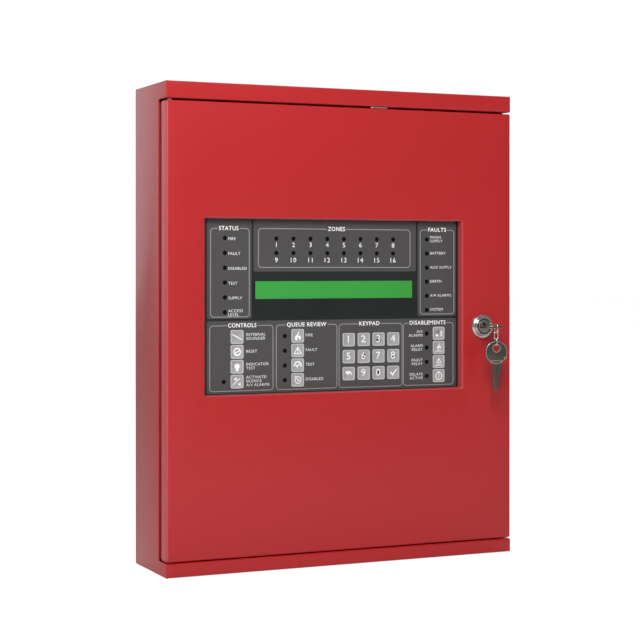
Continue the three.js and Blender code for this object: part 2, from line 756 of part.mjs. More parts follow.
function lcdModule() {
  const x = FASCIA_X + WINDOW_X;
  const z = FASCIA_TOP - WINDOW_DROP;
  const face = PLATE_BACK + WINDOW_CLEARANCE;
  const board = face + MODULE_BEZEL;
  const bezelWidth = WINDOW_WIDTH + 2 * MODULE_BEZEL_LAP;
  const bezelHeight = WINDOW_HEIGHT + 2 * MODULE_BEZEL_LAP;
  const spacers = [];
  for (const sx of [-1, 1]) {
    for (const sz of [-1, 1]) {
      const spacerX = x + sx * (MODULE_WIDTH / 2 - MODULE_SPACER_INSET);
      const spacerZ = z + sz * (MODULE_HEIGHT / 2 - MODULE_SPACER_INSET);
      spacers.push(barY(spacerX, spacerZ, MODULE_SPACER_RADIUS, board + WELD, BOARD_FACE, 10));
    }
  }
  return join(
    block(span(x, bezelWidth), [face, board + WELD], span(z, bezelHeight)),
    block(span(x, MODULE_WIDTH), [board, board + BOARD], span(z, MODULE_HEIGHT)),
    ...spacers,
  );
}

function displayBoard() {
  const dx = FASCIA_WIDTH / 2 - BOARD_MARGIN;
  const dz = FASCIA_HEIGHT / 2 - BOARD_MARGIN;
  return block(span(FASCIA_X, 2 * dx), [BOARD_FACE, BOARD_BACK], span(FASCIA_Z, 2 * dz));
}

// One key: a square cap, a collar that stops it behind the plate, and a stem to its switch.
function button() {
  const cap = slabY(roundedRectangle(0, 0, BUTTON, BUTTON, BUTTON_CORNER),
    LABEL_FACE - BUTTON_PROUD, PLATE_BACK + WELD, 1);
  const wide = BUTTON / 2 + BUTTON_COLLAR;
  const collarFace = PLATE_BACK + BUTTON_COLLAR_GAP;
  const collar = block([-wide, wide], [collarFace, collarFace + BUTTON_COLLAR_THICKNESS],
    [-BUTTON / 2, BUTTON / 2]);
  const stemEnd = BOARD_FACE - BUTTON_TRAVEL - BUTTON_REST_GAP;
  const stem = barY(0, 0, BUTTON_STEM, collarFace, stemEnd, 8);
  return join(cap, collar, stem);
}

// ---------------------------------------------------------------- cam lock

function lockBody() {
  const profile = [
    [0, LOCK_FACE],
    [TRIM_FACE_RADIUS, LOCK_FACE],
    [TRIM_FACE_RADIUS + 0.6, LOCK_FACE + 0.2],
    [TRIM_RADIUS - 1.4, FRONT - 3.6],
    [TRIM_RADIUS - 0.5, FRONT - 2.4],
    [TRIM_RADIUS, FRONT - 1.2],
    [TRIM_RADIUS, FRONT],
    [0, FRONT],
  ];
  const trim = new THREE.LatheGeometry(profile.map(([r, y]) => new THREE.Vector2(r, y)), 28);
  trim.translate(LOCK_X, 0, LOCK_Z);
  return cut(
    join(solid(trim), barY(LOCK_X, LOCK_Z, BARREL_RADIUS, FRONT - WELD, BARREL_BACK, 24)),
    barY(LOCK_X, LOCK_Z, PLUG_RADIUS + PLUG_CLEARANCE, LOCK_FACE - PAST, BARREL_BACK + PAST, 24),
  );
}

function lockNut() {
  const face = FRONT + SHEET;
  return cut(
    slabY(hexagon(LOCK_X, LOCK_Z, LOCK_NUT), face, face + LOCK_NUT_HEIGHT),
    barY(LOCK_X, LOCK_Z, BARREL_RADIUS + LOCK_NUT_CLEARANCE, FRONT, face + LOCK_NUT_HEIGHT + PAST, 24),
  );
}

// The plug with its keyway, a rear shoulder and a square tail for the cam.
function lockPlug() {
  const tail = PLUG_TAIL / 2;
  const slot = KEY_THICKNESS / 2 + KEY_CLEARANCE;
  const mouth = [LOCK_FACE - PAST, LOCK_FACE + KEYWAY_DEPTH];
  const shoulder = BARREL_BACK + PLUG_CLEARANCE;
  const squareTail = [SHOULDER_BACK - WELD, CAM_BACK];
  return cut(
    join(
      barY(LOCK_X, LOCK_Z, PLUG_RADIUS, LOCK_FACE + PLUG_RECESS, shoulder + WELD, 24),
      barY(LOCK_X, LOCK_Z, PLUG_SHOULDER_RADIUS, shoulder, SHOULDER_BACK, 20),
      block([LOCK_X - tail, LOCK_X + tail], squareTail, [LOCK_Z - tail, LOCK_Z + tail]),
    ),
    block([LOCK_X - KEY_BACK_EDGE - KEY_CLEARANCE, LOCK_X + KEY_CUT_EDGE + KEY_CLEARANCE], mouth,
      [LOCK_Z - slot, LOCK_Z + slot]),
    block([LOCK_X - KEYWAY_NOTCH_HALF, LOCK_X + KEYWAY_NOTCH_HALF], mouth,
      [LOCK_Z, LOCK_Z + KEYWAY_NOTCH]),
    barY(LOCK_X, LOCK_Z, CAM_SCREW_RADIUS + CAM_SCREW_CLEARANCE, SHOULDER_BACK, CAM_BACK + PAST, 12),
  );
}

function lockCam() {
  const half = CAM_WIDTH / 2;
  const hole = PLUG_TAIL / 2 + CAM_HOLE_CLEARANCE;
  const tip = LOCK_Z + CAM_LENGTH;
  const depth = [CAM_FACE, CAM_BACK];
  return cut(
    join(
      barY(LOCK_X, LOCK_Z, CAM_HUB_RADIUS, ...depth, 28),
      block([LOCK_X - half, LOCK_X + half], depth, [LOCK_Z, tip - 1]),
      block([LOCK_X - half + 1, LOCK_X + half - 1], depth, [LOCK_Z, tip]),
    ),
    block([LOCK_X - hole, LOCK_X + hole], [CAM_FACE - PAST, CAM_BACK + PAST],
      [LOCK_Z - hole, LOCK_Z + hole]),
  );
}

function camScrew() {
  const head = CAM_BACK + CAM_SCREW_CLEARANCE;
  return join(
    barY(LOCK_X, LOCK_Z, CAM_SCREW_RADIUS, CAM_FACE, head + WELD, 12),
    barY(LOCK_X, LOCK_Z, CAM_SCREW_HEAD, head, head + CAM_SCREW_HEAD_HEIGHT, 16),
  );
}

// The keeper on the box's side that the cam turns behind.
function catchBracket() {
  const inside = RIGHT - SHEET;
  const lipBack = CAM_FACE - CAM_GAP;
  const lipFace = lipBack - SHEET;
  const z = [LOCK_Z - CATCH_HEIGHT / 2, LOCK_Z + CATCH_HEIGHT / 2];
  return join(
    block([inside - SHEET, inside], [lipFace, lipFace + CATCH_LENGTH], z),
    block([inside - CATCH_REACH, inside], [lipFace, lipBack], z),
  );
}

// A flat key in X and Z: bow centre at the origin, tip pointing down, cuts on the +X edge.
// Each row below is a corner's place across the blade and its height above the tip.
function keyBody() {
  const tip = KEY_BOW_RADIUS - KEY_LENGTH;
  const shoulder = KEY_SHANK + KEY_STOP_HEIGHT;
  const cuts = [
    [-0.8, 0], [1.6, 2.7], [1.6, 5.7], [2.9, 10.8], [1.3, 13.5], [KEY_CUT_EDGE, 18],
    [KEY_CUT_EDGE, KEY_SHANK], [KEY_CUT_EDGE + KEY_STOP_WIDTH, shoulder],
    [KEY_CUT_EDGE, -tip], [-KEY_BACK_EDGE, -tip],
    [-KEY_BACK_EDGE - KEY_STOP_WIDTH, shoulder], [-KEY_BACK_EDGE, KEY_SHANK], [-2.9, 2.7],
  ];
  const blade = new THREE.Shape(cuts.map(([x, up]) => new THREE.Vector2(x, tip + up)));
  const half = KEY_THICKNESS / 2;
  return cut(
    join(slabY(blade, -half, half), barY(0, 0, KEY_BOW_RADIUS, -half, half, 28)),
    barY(0, KEY_HOLE_OFFSET, KEY_HOLE_RADIUS, -half - 1, half + 1, 16),
  );
}

// ---------------------------------------------------------------- inside the box

function chassis() {
  const x = RIGHT - CHASSIS_INSET;
  const plate = block([-x, x], [CHASSIS_FACE, CHASSIS_BACK], [CHASSIS_BOTTOM, CHASSIS_TOP]);
  const feet = [];
  for (const sx of [-1, 0, 1]) {
    for (const z of [CHASSIS_BOTTOM + CHASSIS_PILLAR_INSET, CHASSIS_TOP - CHASSIS_PILLAR_INSET]) {
      const footX = sx * (x - CHASSIS_PILLAR_INSET);
      feet.push(barY(footX, z, CHASSIS_PILLAR, CHASSIS_BACK - WELD, BACK_INSIDE, 12));
    }
  }
  const pillars = [];
  for (const sx of [-1, 0, 1]) {
    const pillarX = sx * (MAIN_BOARD_WIDTH / 2 - MAIN_BOARD_PILLAR_INSET);
    for (const z of [MAIN_BOARD_BOTTOM + MAIN_BOARD_PILLAR_INSET,
      MAIN_BOARD_TOP - MAIN_BOARD_PILLAR_INSET]) {
      pillars.push(barY(pillarX, z, MAIN_BOARD_PILLAR, MAIN_BOARD_BACK, CHASSIS_FACE + WELD, 12));
    }
  }
  return join(plate, ...feet, ...pillars);
}

// A row of field terminals: a stepped body, higher along its upper edge.
function terminalStrip(x0, x1) {
  const z1 = MAIN_BOARD_TOP - TERMINAL_DROP;
  const z0 = z1 - TERMINAL_HEIGHT;
  return join(
    block([x0, x1], [MAIN_BOARD_FACE - TERMINAL_DEPTH * TERMINAL_STEP, MAIN_BOARD_FACE], [z0, z1]),
    block([x0, x1], [MAIN_BOARD_FACE - TERMINAL_DEPTH, MAIN_BOARD_FACE],
      [z0, z0 + TERMINAL_HEIGHT * TERMINAL_STEP]),
  );
}

function transformer() {
  const x = LEFT + CHASSIS_INSET + FROM_CHASSIS_EDGE + TRANSFORMER_WIDTH / 2;
  const z = SUPPLY_TOP - TRANSFORMER_COIL_HEIGHT / 2 - TRANSFORMER_COIL_OFF;
  return join(
    block(span(x, TRANSFORMER_WIDTH), [CHASSIS_FACE - TRANSFORMER_CORE, CHASSIS_FACE],
      span(z, TRANSFORMER_HEIGHT)),
    block(span(x, TRANSFORMER_COIL_WIDTH),
      [CHASSIS_FACE - TRANSFORMER_COIL_DEPTH, CHASSIS_FACE - TRANSFORMER_COIL_OFF],
      span(z, TRANSFORMER_COIL_HEIGHT)),
  );
}

function battery(x0) {
  const y1 = BACK_INSIDE - BATTERY_OFF_BACK;
  const y0 = y1 - BATTERY_DEPTH;
  const tabFace = y0 + BATTERY_TAB_INSET;
  const tabs = [x0 + BATTERY_TAB_INSET, x0 + BATTERY_WIDTH - BATTERY_TAB_INSET].map((x) => (
    block(span(x, BATTERY_TAB), [tabFace, tabFace + BATTERY_TAB_THICKNESS],
      [BATTERY_TOP - WELD, BATTERY_TOP + BATTERY_TAB_HEIGHT])));
  return join(
    block([x0, x0 + BATTERY_WIDTH], [y0, y1], [BOTTOM + SHEET, BATTERY_TOP]),
    ...tabs,
  );
}

function batteryStop() {
  const back = BACK_INSIDE - BATTERY_OFF_BACK - BATTERY_DEPTH - BATTERY_STOP_GAP;
  const x = span(0, BATTERY_STOP_WIDTH);
  const floor = BOTTOM + SHEET;
  return join(
    block(x, [back - SHEET, back], [floor, floor + BATTERY_STOP_HEIGHT]),
    block(x, [back - SHEET - BATTERY_STOP_FOOT, back], [floor, floor + SHEET]),
  );
}

function fuseHolder() {
  const x0 = LEFT + CHASSIS_INSET + FROM_CHASSIS_EDGE + MAINS_TERMINAL_WIDTH + MAINS_TO_FUSE;
  const x1 = x0 + FUSE_LENGTH;
  const z = CHASSIS_BOTTOM + MAINS_ABOVE_EDGE + MAINS_TERMINAL_HEIGHT / 2;
  const capY = CHASSIS_FACE - FUSE_BASE - FUSE_RADIUS * FUSE_SUNK;
  return join(
    block([x0, x1], [CHASSIS_FACE - FUSE_BASE, CHASSIS_FACE], span(z, 2 * FUSE_RADIUS)),
    barX(capY, z, FUSE_RADIUS, x0 + FUSE_CAP_INSET, x1 - FUSE_CAP_INSET, 16),
  );
}

function earthStud() {
  const x = RIGHT - CHASSIS_INSET - EARTH_FROM_EDGE;
  const z = CHASSIS_BOTTOM + EARTH_ABOVE_EDGE;
  const nutBack = CHASSIS_FACE - EARTH_NUT_OFF;
  return join(
    barY(x, z, EARTH_STUD_RADIUS, CHASSIS_FACE - EARTH_STUD_LENGTH, CHASSIS_FACE, 12),
    slabY(hexagon(x, z, EARTH_NUT), nutBack - EARTH_NUT_HEIGHT, nutBack),
  );
}

// ---------------------------------------------------------------- assembly

piece('back_box', backBox(), materials.paint);
piece('door_panel', doorPanel(), materials.paint);
piece('hinge_pin_top', hingePin(TOP - TOP_BAND + SHEET, 1), materials.steel);
piece('hinge_pin_bottom', hingePin(BOTTOM + BOTTOM_BAND - SHEET, -1), materials.steel);

piece('fascia_label', fasciaLabel(), materials.label);
piece('fascia_plate', fasciaPlate(), materials.steel);
piece('lcd_window', windowCutter(WINDOW_LAP, PLATE_FACE, PLATE_BACK), materials.green);
piece('lcd_module', lcdModule(), materials.black);
piece('display_board', displayBoard(), materials.board);
piece('internal_sounder', barY(FASCIA_X + SOUNDER_X, FASCIA_TOP - SOUNDER_DROP, SOUNDER_RADIUS,
  BOARD_BACK, BOARD_BACK + SOUNDER_HEIGHT), materials.black);
for (const { name, x, z } of BUTTONS) {
  piece(name, button(), materials.rubber, [x, 0, z]);
}

piece('lock_body', lockBody(), materials.nickel);
piece('lock_nut', lockNut(), materials.steel);
piece('lock_plug', lockPlug(), materials.nickel);
piece('lock_cam', lockCam(), materials.steel);
piece('cam_screw', camScrew(), materials.steel);
piece('catch_bracket', catchBracket(), materials.steel);

// The key lies flat in the plug; its bow's outer rim carries the chain.
const keyBowY = LOCK_FACE - (KEY_LENGTH - KEY_BOW_RADIUS - KEY_INSERTED);
const inserted = geometryOf(keyBody()).rotateX(Math.PI / 2);
piece('key', inserted, materials.keyMetal, [LOCK_X, keyBowY, LOCK_Z]);

// The rim of a bow, between its hole and its edge, is what a link passes round.
const RIM_WIDTH = KEY_BOW_RADIUS - KEY_HOLE_OFFSET - KEY_HOLE_RADIUS;
const RIM_Y = keyBowY - KEY_BOW_RADIUS + RIM_WIDTH / 2;

// How far a flat edge stands off the end of a link's inner half circle.
function seat(radius, halfThickness) {
  return radius - Math.sqrt((radius - CHAIN_PLAY) ** 2 - halfThickness ** 2);
}

const firstWidth = RIM_WIDTH + 3 * CHAIN_PLAY;
const firstTop = LOCK_Z + KEY_THICKNESS / 2 + seat(firstWidth / 2, RIM_WIDTH / 2);
const firstBottom = firstTop - FIRST_LINK;
const secondTop = firstBottom + CHAIN_PLAY;
const secondBottom = secondTop - MIDDLE_LINK;
const thirdWidth = KEY_THICKNESS + 5 * CHAIN_PLAY;
const thirdTop = secondBottom + CHAIN_PLAY;
const spareTop = thirdTop - 2 * CHAIN_PLAY - 2 * CHAIN_WIRE;
const thirdBottom = spareTop - RIM_WIDTH - seat(thirdWidth / 2, KEY_THICKNESS / 2);

// A link between two inner ends. Crosswise links lie in Y and Z, the others in X and Z.
function chainLink(name, top, bottom, width, crosswise, turnZ = 0) {
  const link = ovalLink(width, top - bottom, CHAIN_WIRE);
  if (crosswise) link.rotateZ(Math.PI / 2);
  piece(name, link, materials.nickel, [LOCK_X, RIM_Y, (top + bottom) / 2], turnZ);
}

const turn = -SPARE_KEY_TURN * Math.PI / 180;
chainLink('chain_link_1', firstTop, firstBottom, firstWidth, true);
chainLink('chain_link_2', secondTop, secondBottom, MIDDLE_LINK_WIDTH, false);
chainLink('chain_link_3', thirdTop, thirdBottom, thirdWidth, true, turn);
piece('spare_key', keyBody(), materials.keyMetal, [LOCK_X, RIM_Y, spareTop - KEY_BOW_RADIUS], turn);

piece('chassis_plate', chassis(), materials.steel);
piece('main_board', block(span(0, MAIN_BOARD_WIDTH), [MAIN_BOARD_FACE, MAIN_BOARD_BACK],
  [MAIN_BOARD_BOTTOM, MAIN_BOARD_TOP]), materials.board);
const stripInner = TERMINAL_GAP / 2;
const stripOuter = stripInner + TERMINAL_WIDTH;
piece('terminal_strip_1', terminalStrip(-stripOuter, -stripInner), materials.terminal);
piece('terminal_strip_2', terminalStrip(stripInner, stripOuter), materials.terminal);
piece('power_supply', block([RIGHT - SUPPLY_FROM_RIGHT - SUPPLY_WIDTH, RIGHT - SUPPLY_FROM_RIGHT],
  [CHASSIS_FACE - SUPPLY_DEPTH, CHASSIS_FACE], [SUPPLY_BOTTOM, SUPPLY_TOP]), materials.steel);
piece('transformer', transformer(), materials.copper);
const mainsLeft = LEFT + CHASSIS_INSET + FROM_CHASSIS_EDGE;
const mainsBottom = CHASSIS_BOTTOM + MAINS_ABOVE_EDGE;
piece('mains_terminal', block([mainsLeft, mainsLeft + MAINS_TERMINAL_WIDTH],
  [CHASSIS_FACE - MAINS_TERMINAL_DEPTH, CHASSIS_FACE],
  [mainsBottom, mainsBottom + MAINS_TERMINAL_HEIGHT]), materials.black);
piece('fuse_holder', fuseHolder(), materials.black);
piece('earth_stud', earthStud(), materials.steel);
piece('battery_left', battery(-BATTERY_GAP / 2 - BATTERY_WIDTH), materials.battery);
piece('battery_right', battery(BATTERY_GAP / 2), materials.battery);
piece('battery_stop', batteryStop(), materials.steel);

export default panel;
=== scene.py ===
# %% [markdown]
# # A fire alarm control panel
# The real object is a shallow red steel box on a wall. Its hinged door carries a recessed
# fascia with lamps, a green display and rubber keys, and a cam lock with two keys.
# The frame below already holds every part at its place and size, so this lesson makes
# the fine surfaces and the finishes, and takes the place of each part from the frame.
# What is printed on a part, or soldered to it, is placed by measures of its own.

# %% Load the frame and the tools
import math

import bmesh
import bpy
import numpy as np
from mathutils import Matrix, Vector
from mathutils.geometry import tessellate_polygon


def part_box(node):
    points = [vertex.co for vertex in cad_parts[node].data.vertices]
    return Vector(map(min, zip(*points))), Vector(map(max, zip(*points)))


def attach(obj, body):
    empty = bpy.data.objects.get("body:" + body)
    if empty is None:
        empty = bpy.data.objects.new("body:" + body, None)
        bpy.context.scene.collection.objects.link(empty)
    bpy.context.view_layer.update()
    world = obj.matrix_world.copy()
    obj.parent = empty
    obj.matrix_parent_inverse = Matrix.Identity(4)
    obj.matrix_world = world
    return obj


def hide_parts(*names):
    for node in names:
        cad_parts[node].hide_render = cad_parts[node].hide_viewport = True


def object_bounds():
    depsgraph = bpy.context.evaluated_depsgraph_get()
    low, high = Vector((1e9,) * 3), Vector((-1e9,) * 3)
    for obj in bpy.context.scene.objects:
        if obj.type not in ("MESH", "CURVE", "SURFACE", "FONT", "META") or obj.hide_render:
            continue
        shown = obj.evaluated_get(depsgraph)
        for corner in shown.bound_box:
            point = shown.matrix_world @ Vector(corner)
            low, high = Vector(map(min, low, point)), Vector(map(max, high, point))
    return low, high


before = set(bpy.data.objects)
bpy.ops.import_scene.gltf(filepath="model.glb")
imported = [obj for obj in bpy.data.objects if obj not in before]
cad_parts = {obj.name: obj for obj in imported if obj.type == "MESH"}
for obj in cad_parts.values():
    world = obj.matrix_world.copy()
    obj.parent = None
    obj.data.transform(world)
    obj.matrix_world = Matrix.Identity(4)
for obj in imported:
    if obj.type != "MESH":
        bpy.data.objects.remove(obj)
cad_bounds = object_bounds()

MM = 0.001


def span(node):
    """A node's box in millimetres, as three (low, high) pairs for X, Y and Z."""
    low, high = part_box(node)
    return [(low[i] / MM, high[i] / MM) for i in range(3)]


def middle(pair):
    """The point half way between the two ends of a pair."""
    return (pair[0] + pair[1]) / 2


# %% [markdown]
# ## The camera first
# The panel is looked at from its left with a long lens, level with the floor, so its
# upright edges stay upright. The lens is shifted down a little, as a view camera's is,
# in place of tilting it.

# %% Camera
CAMERA_TURN = math.radians(24.262)
CAMERA_AIM = (0.01256, 0.0, 0.0534)
CAMERA_AWAY = 1.61135
camera_data = bpy.data.cameras.new("camera")
camera_data.sensor_width = 36.0
camera_data.lens = 94.47
camera_data.shift_y = -0.0815
camera = bpy.data.objects.new("camera", camera_data)
camera.location = (CAMERA_AIM[0] - CAMERA_AWAY * math.sin(CAMERA_TURN),
                   CAMERA_AIM[1] - CAMERA_AWAY * math.cos(CAMERA_TURN), CAMERA_AIM[2])
camera.rotation_euler = (math.pi / 2, 0.0, -CAMERA_TURN)
bpy.context.scene.collection.objects.link(camera)
bpy.context.scene.camera = camera
bpy.context.scene.view_settings.view_transform = "Standard"
print("camera at", [round(v, 3) for v in camera.location])

# %% [markdown]
# ## A white room
# The panel stands on a plain white floor in a white room. A soft lamp close by at the
# upper left makes the satin paint fade slowly towards the lower right. The room behind
# the panel is bright, so the painted side, which is seen at a low angle, mirrors white;
# the room in front of it is dim, so that the face keeps its deep colour.

# %% Floor, room and lamps
FLOOR_SIZE = 14.0
FLOOR_GAP = 0.0006


def floor_sheet():
    """A flat square grid, x and y from -size to size, at one height."""
    side = np.linspace(-FLOOR_SIZE, FLOOR_SIZE, 3)
    x, y = np.meshgrid(side, side, indexing="ij")
    points = np.stack([x, y, np.full_like(x, cad_bounds[0][2] - FLOOR_GAP)], -1).reshape(-1, 3)
    faces = [(0, 3, 4, 1), (1, 4, 5, 2), (3, 6, 7, 4), (4, 7, 8, 5)]
    mesh = bpy.data.meshes.new("floor")
    mesh.from_pydata(points.tolist(), [], faces)
    return mesh


FLOOR_GLOW = 0.72
FLOOR_GREY = 0.8
floor_paint = bpy.data.materials.new("floor_white")
floor_paint.use_nodes = True
floor_shader = floor_paint.node_tree.nodes["Principled BSDF"]
floor_shader.inputs["Base Color"].default_value = (FLOOR_GREY, FLOOR_GREY, FLOOR_GREY, 1)
floor_shader.inputs["Roughness"].default_value = 0.9
floor_shader.inputs["Specular IOR Level"].default_value = 0.1
floor_shader.inputs["Emission Color"].default_value = (1, 1, 1, 1)
floor_ray = floor_paint.node_tree.nodes.new("ShaderNodeLightPath")
floor_glow = floor_paint.node_tree.nodes.new("ShaderNodeMath")
floor_glow.operation = "MULTIPLY"
floor_glow.inputs[1].default_value = FLOOR_GLOW
floor_paint.node_tree.links.new(floor_ray.outputs["Is Camera Ray"], floor_glow.inputs[0])
floor_paint.node_tree.links.new(floor_glow.outputs[0], floor_shader.inputs["Emission Strength"])
floor = bpy.data.objects.new("floor", floor_sheet())
floor.data.materials.append(floor_paint)
bpy.context.scene.collection.objects.link(floor)

# The room's light, from dim in front of the panel to bright behind it, and the white
# that the camera sees.
ROOM_FRONT, ROOM_BACK, ROOM_SEEN = 0.26, 1.05, 1.05
FADE_START, FADE_END = 0.55, 0.85
world = bpy.data.worlds.new("white_room")
bpy.context.scene.world = world
world.use_nodes = True
nodes, links = world.node_tree.nodes, world.node_tree.links
nodes.clear()
room_out = nodes.new("ShaderNodeOutputWorld")
room_mix = nodes.new("ShaderNodeMixShader")
room_sees = nodes.new("ShaderNodeBackground")
room_lights = nodes.new("ShaderNodeBackground")
ray = nodes.new("ShaderNodeLightPath")
direction = nodes.new("ShaderNodeTexCoord")
split = nodes.new("ShaderNodeSeparateXYZ")
behind = nodes.new("ShaderNodeMapRange")
behind.interpolation_type = "SMOOTHSTEP"
behind.inputs["From Min"].default_value = FADE_START
behind.inputs["From Max"].default_value = FADE_END
behind.inputs["To Min"].default_value = ROOM_FRONT
behind.inputs["To Max"].default_value = ROOM_BACK
room_sees.inputs["Color"].default_value = (1, 1, 1, 1)
room_sees.inputs["Strength"].default_value = ROOM_SEEN
room_lights.inputs["Color"].default_value = (0.97, 0.98, 1.0, 1)
links.new(direction.outputs["Generated"], split.inputs["Vector"])
links.new(split.outputs["Y"], behind.inputs["Value"])
links.new(behind.outputs["Result"], room_lights.inputs["Strength"])
links.new(ray.outputs["Is Camera Ray"], room_mix.inputs["Fac"])
links.new(room_lights.outputs["Background"], room_mix.inputs[1])
links.new(room_sees.outputs["Background"], room_mix.inputs[2])
links.new(room_mix.outputs["Shader"], room_out.inputs["Surface"])


def area_lamp(name, place, aim, size, watts, colour=(1, 1, 1)):
    """A rectangular soft lamp at a place, turned to face a point."""
    data = bpy.data.lights.new(name, "AREA")
    data.shape = "RECTANGLE"
    data.size, data.size_y = size
    data.energy = watts
    data.color = colour
    lamp = bpy.data.objects.new(name, data)
    lamp.location = place
    lamp.rotation_euler = (Vector(aim) - Vector(place)).to_track_quat("-Z", "Y").to_euler()
    lamp.visible_camera = False
    bpy.context.scene.collection.objects.link(lamp)
    return lamp


area_lamp("key_lamp", (-0.48, -1.05, 0.74), (-0.05, 0, 0.03), (0.5, 0.5), 13.5)
area_lamp("top_lamp", (0.1, 0.5, 1.9), (0, 0, 0), (1.6, 1.0), 9)

# %% [markdown]
# ## Shapes from arrays
# Four kinds of shape make almost every piece here: a slab with rounded edges cut from an
# outline, a turned piece, a wire, and a shell carried through rectangles of growing size.
# Each one is a function of two parameters worked out as whole arrays.

# %% Slabs: an outline with holes, given thickness and rounded edges


def inset(loop, distance):
    """Moves each corner of a closed loop to its left: corner + d (a + b) / (1 + a.b),
    where a and b are the unit left normals of the two sides that meet there."""
    side = np.roll(loop, -1, 0) - loop
    side = side / np.linalg.norm(side, axis=1)[:, None]
    left = np.stack([-side[:, 1], side[:, 0]], 1)
    before = np.roll(left, 1, 0)
    mitre = (left + before) / (1 + (left * before).sum(1))[:, None]
    return loop + mitre * distance


def rounding(edge, low, high, steps=3):
    """(inset, level) pairs from low to high with a quarter-round at both ends:
    inset = e (1 - sin t), level = end + e (1 - cos t)."""
    if edge <= 0:
        return [(0.0, low), (0.0, high)]
    turn = np.linspace(0, math.pi / 2, steps + 1)
    rise = [(edge * (1 - math.sin(t)), low + edge * (1 - math.cos(t))) for t in turn]
    return rise + [(back, high - (level - low)) for back, level in reversed(rise)]


def slab(loops, low, high, edge=0.0, plane="xz", steps=3):
    """A plate between two levels. Loops run anticlockwise outside and clockwise round
    holes, in the named plane; the third axis is the thickness. Points are
    inset(loop, back) at each level of rounding(), and flat caps close both ends."""
    axes = ["xyz".index(c) for c in plane]
    third = 3 - sum(axes)
    levels = rounding(edge, low, high, steps)
    points, faces, first, last = [], [], [], []
    start = 0
    for loop in (np.asarray(item, float) for item in loops):
        count = len(loop)
        rings = np.zeros((len(levels), count, 3))
        for i, (back, level) in enumerate(levels):
            rings[i][:, axes] = inset(loop, back) if back else loop
            rings[i][:, third] = level
        a = np.arange(count)
        b = (a + 1) % count
        for i in range(len(levels) - 1):
            lower, upper = start + i * count, start + (i + 1) * count
            faces += np.stack([lower + a, lower + b, upper + b, upper + a], 1).tolist()
        first.append((start, rings[0]))
        last.append((start + (len(levels) - 1) * count, rings[-1]))
        points.append(rings.reshape(-1, 3))
        start += len(levels) * count
    for caps in (first, last):
        number = np.concatenate([begin + np.arange(len(ring)) for begin, ring in caps])
        flat = [[Vector((*ring[i, axes], 0)) for i in range(len(ring))] for _, ring in caps]
        faces += [[int(number[k]) for k in tri] for tri in tessellate_polygon(flat)]
    return np.concatenate(points), faces


# %% Outlines: rectangles, discs, bars and bent sheet


def rectangle(x, z, width, height, radius=0.0, steps=4):
    """A rectangle with rounded corners, anticlockwise from its lower left corner."""
    half_w, half_h = width / 2 - radius, height / 2 - radius
    centres = np.array([(-1, -1), (1, -1), (1, 1), (-1, 1)]) * (half_w, half_h) + (x, z)
    if radius <= 0:
        return centres
    turn = np.linspace(0, math.pi / 2, steps + 1)
    starts = np.array([math.pi, 1.5 * math.pi, 0, 0.5 * math.pi])
    angle = starts[:, None] + turn[None]
    arcs = centres[:, None] + radius * np.stack([np.cos(angle), np.sin(angle)], -1)
    return arcs.reshape(-1, 2)


def span_rectangle(xs, zs, radius=0.0, steps=5):
    """A rectangle over two spans, with rounded corners if a radius is given."""
    return rectangle(middle(xs), middle(zs), xs[1] - xs[0], zs[1] - zs[0], radius, steps)


def disc(x, z, radius, sides=32, start=0.0):
    """Points (x + r cos t, z + r sin t) of a circle."""
    t = start + np.arange(sides) / sides * 2 * math.pi
    return np.stack([x + radius * np.cos(t), z + radius * np.sin(t)], 1)


def bar(start, end, width):
    """A straight bar of a given width between two points."""
    start, end = np.array(start, float), np.array(end, float)
    along = (end - start) / np.linalg.norm(end - start)
    side = np.array([-along[1], along[0]]) * width / 2
    return np.array([start - side, end - side, end + side, start + side])


def arc_band(x, z, inner, outer, a0, a1, steps=12):
    """A band between two radii, from one angle to another, in degrees."""
    t = np.radians(np.linspace(a0, a1, steps + 1))
    circle = np.stack([np.cos(t), np.sin(t)], 1)
    return np.concatenate([(x, z) + outer * circle, (x, z) + inner * circle[::-1]])


def bend(points, radius, steps=5):
    """An open line whose inner corners are replaced by arcs of a radius: each arc starts
    r tan(turn / 2) before the corner."""
    points = [np.array(p, float) for p in points]
    line = [points[0]]
    for before, corner, after in zip(points, points[1:], points[2:]):
        a = (before - corner) / np.linalg.norm(before - corner)
        b = (after - corner) / np.linalg.norm(after - corner)
        half = math.acos(float(np.clip(a @ b, -1, 1))) / 2
        centre = corner + (a + b) / np.linalg.norm(a + b) * radius / math.sin(half)
        p, q = corner + a * radius / math.tan(half), corner + b * radius / math.tan(half)
        u, v = p - centre, q - centre
        for k in np.linspace(0, 1, steps + 1):
            ray_k = u * (1 - k) + v * k
            line.append(centre + ray_k / np.linalg.norm(ray_k) * radius)
    line.append(points[-1])
    return np.array(line)


def line_mitres(line):
    """At each point of an open line, the step to its left: (a + b) / (1 + a.b), where a
    and b are the unit left normals before and after the point."""
    side = np.diff(line, axis=0)
    side = side / np.linalg.norm(side, axis=1)[:, None]
    left = np.stack([-side[:, 1], side[:, 0]], 1)
    before, after = np.vstack([left[:1], left]), np.vstack([left, left[-1:]])
    return (before + after) / (1 + (before * after).sum(1))[:, None]


def sheet_outline(points, thickness, radius):
    """The edge of a bent sheet: its middle line with rounded bends, moved half a
    thickness to each side, and turned to run anticlockwise."""
    line = bend(points, radius)
    mitre = line_mitres(line)
    outline = np.concatenate([line + mitre * thickness / 2, (line - mitre * thickness / 2)[::-1]])
    x, z = outline.T
    area = (x * np.roll(z, -1) - np.roll(x, -1) * z).sum()
    return outline if area > 0 else outline[::-1]


# %% Turned pieces, wires and lofts


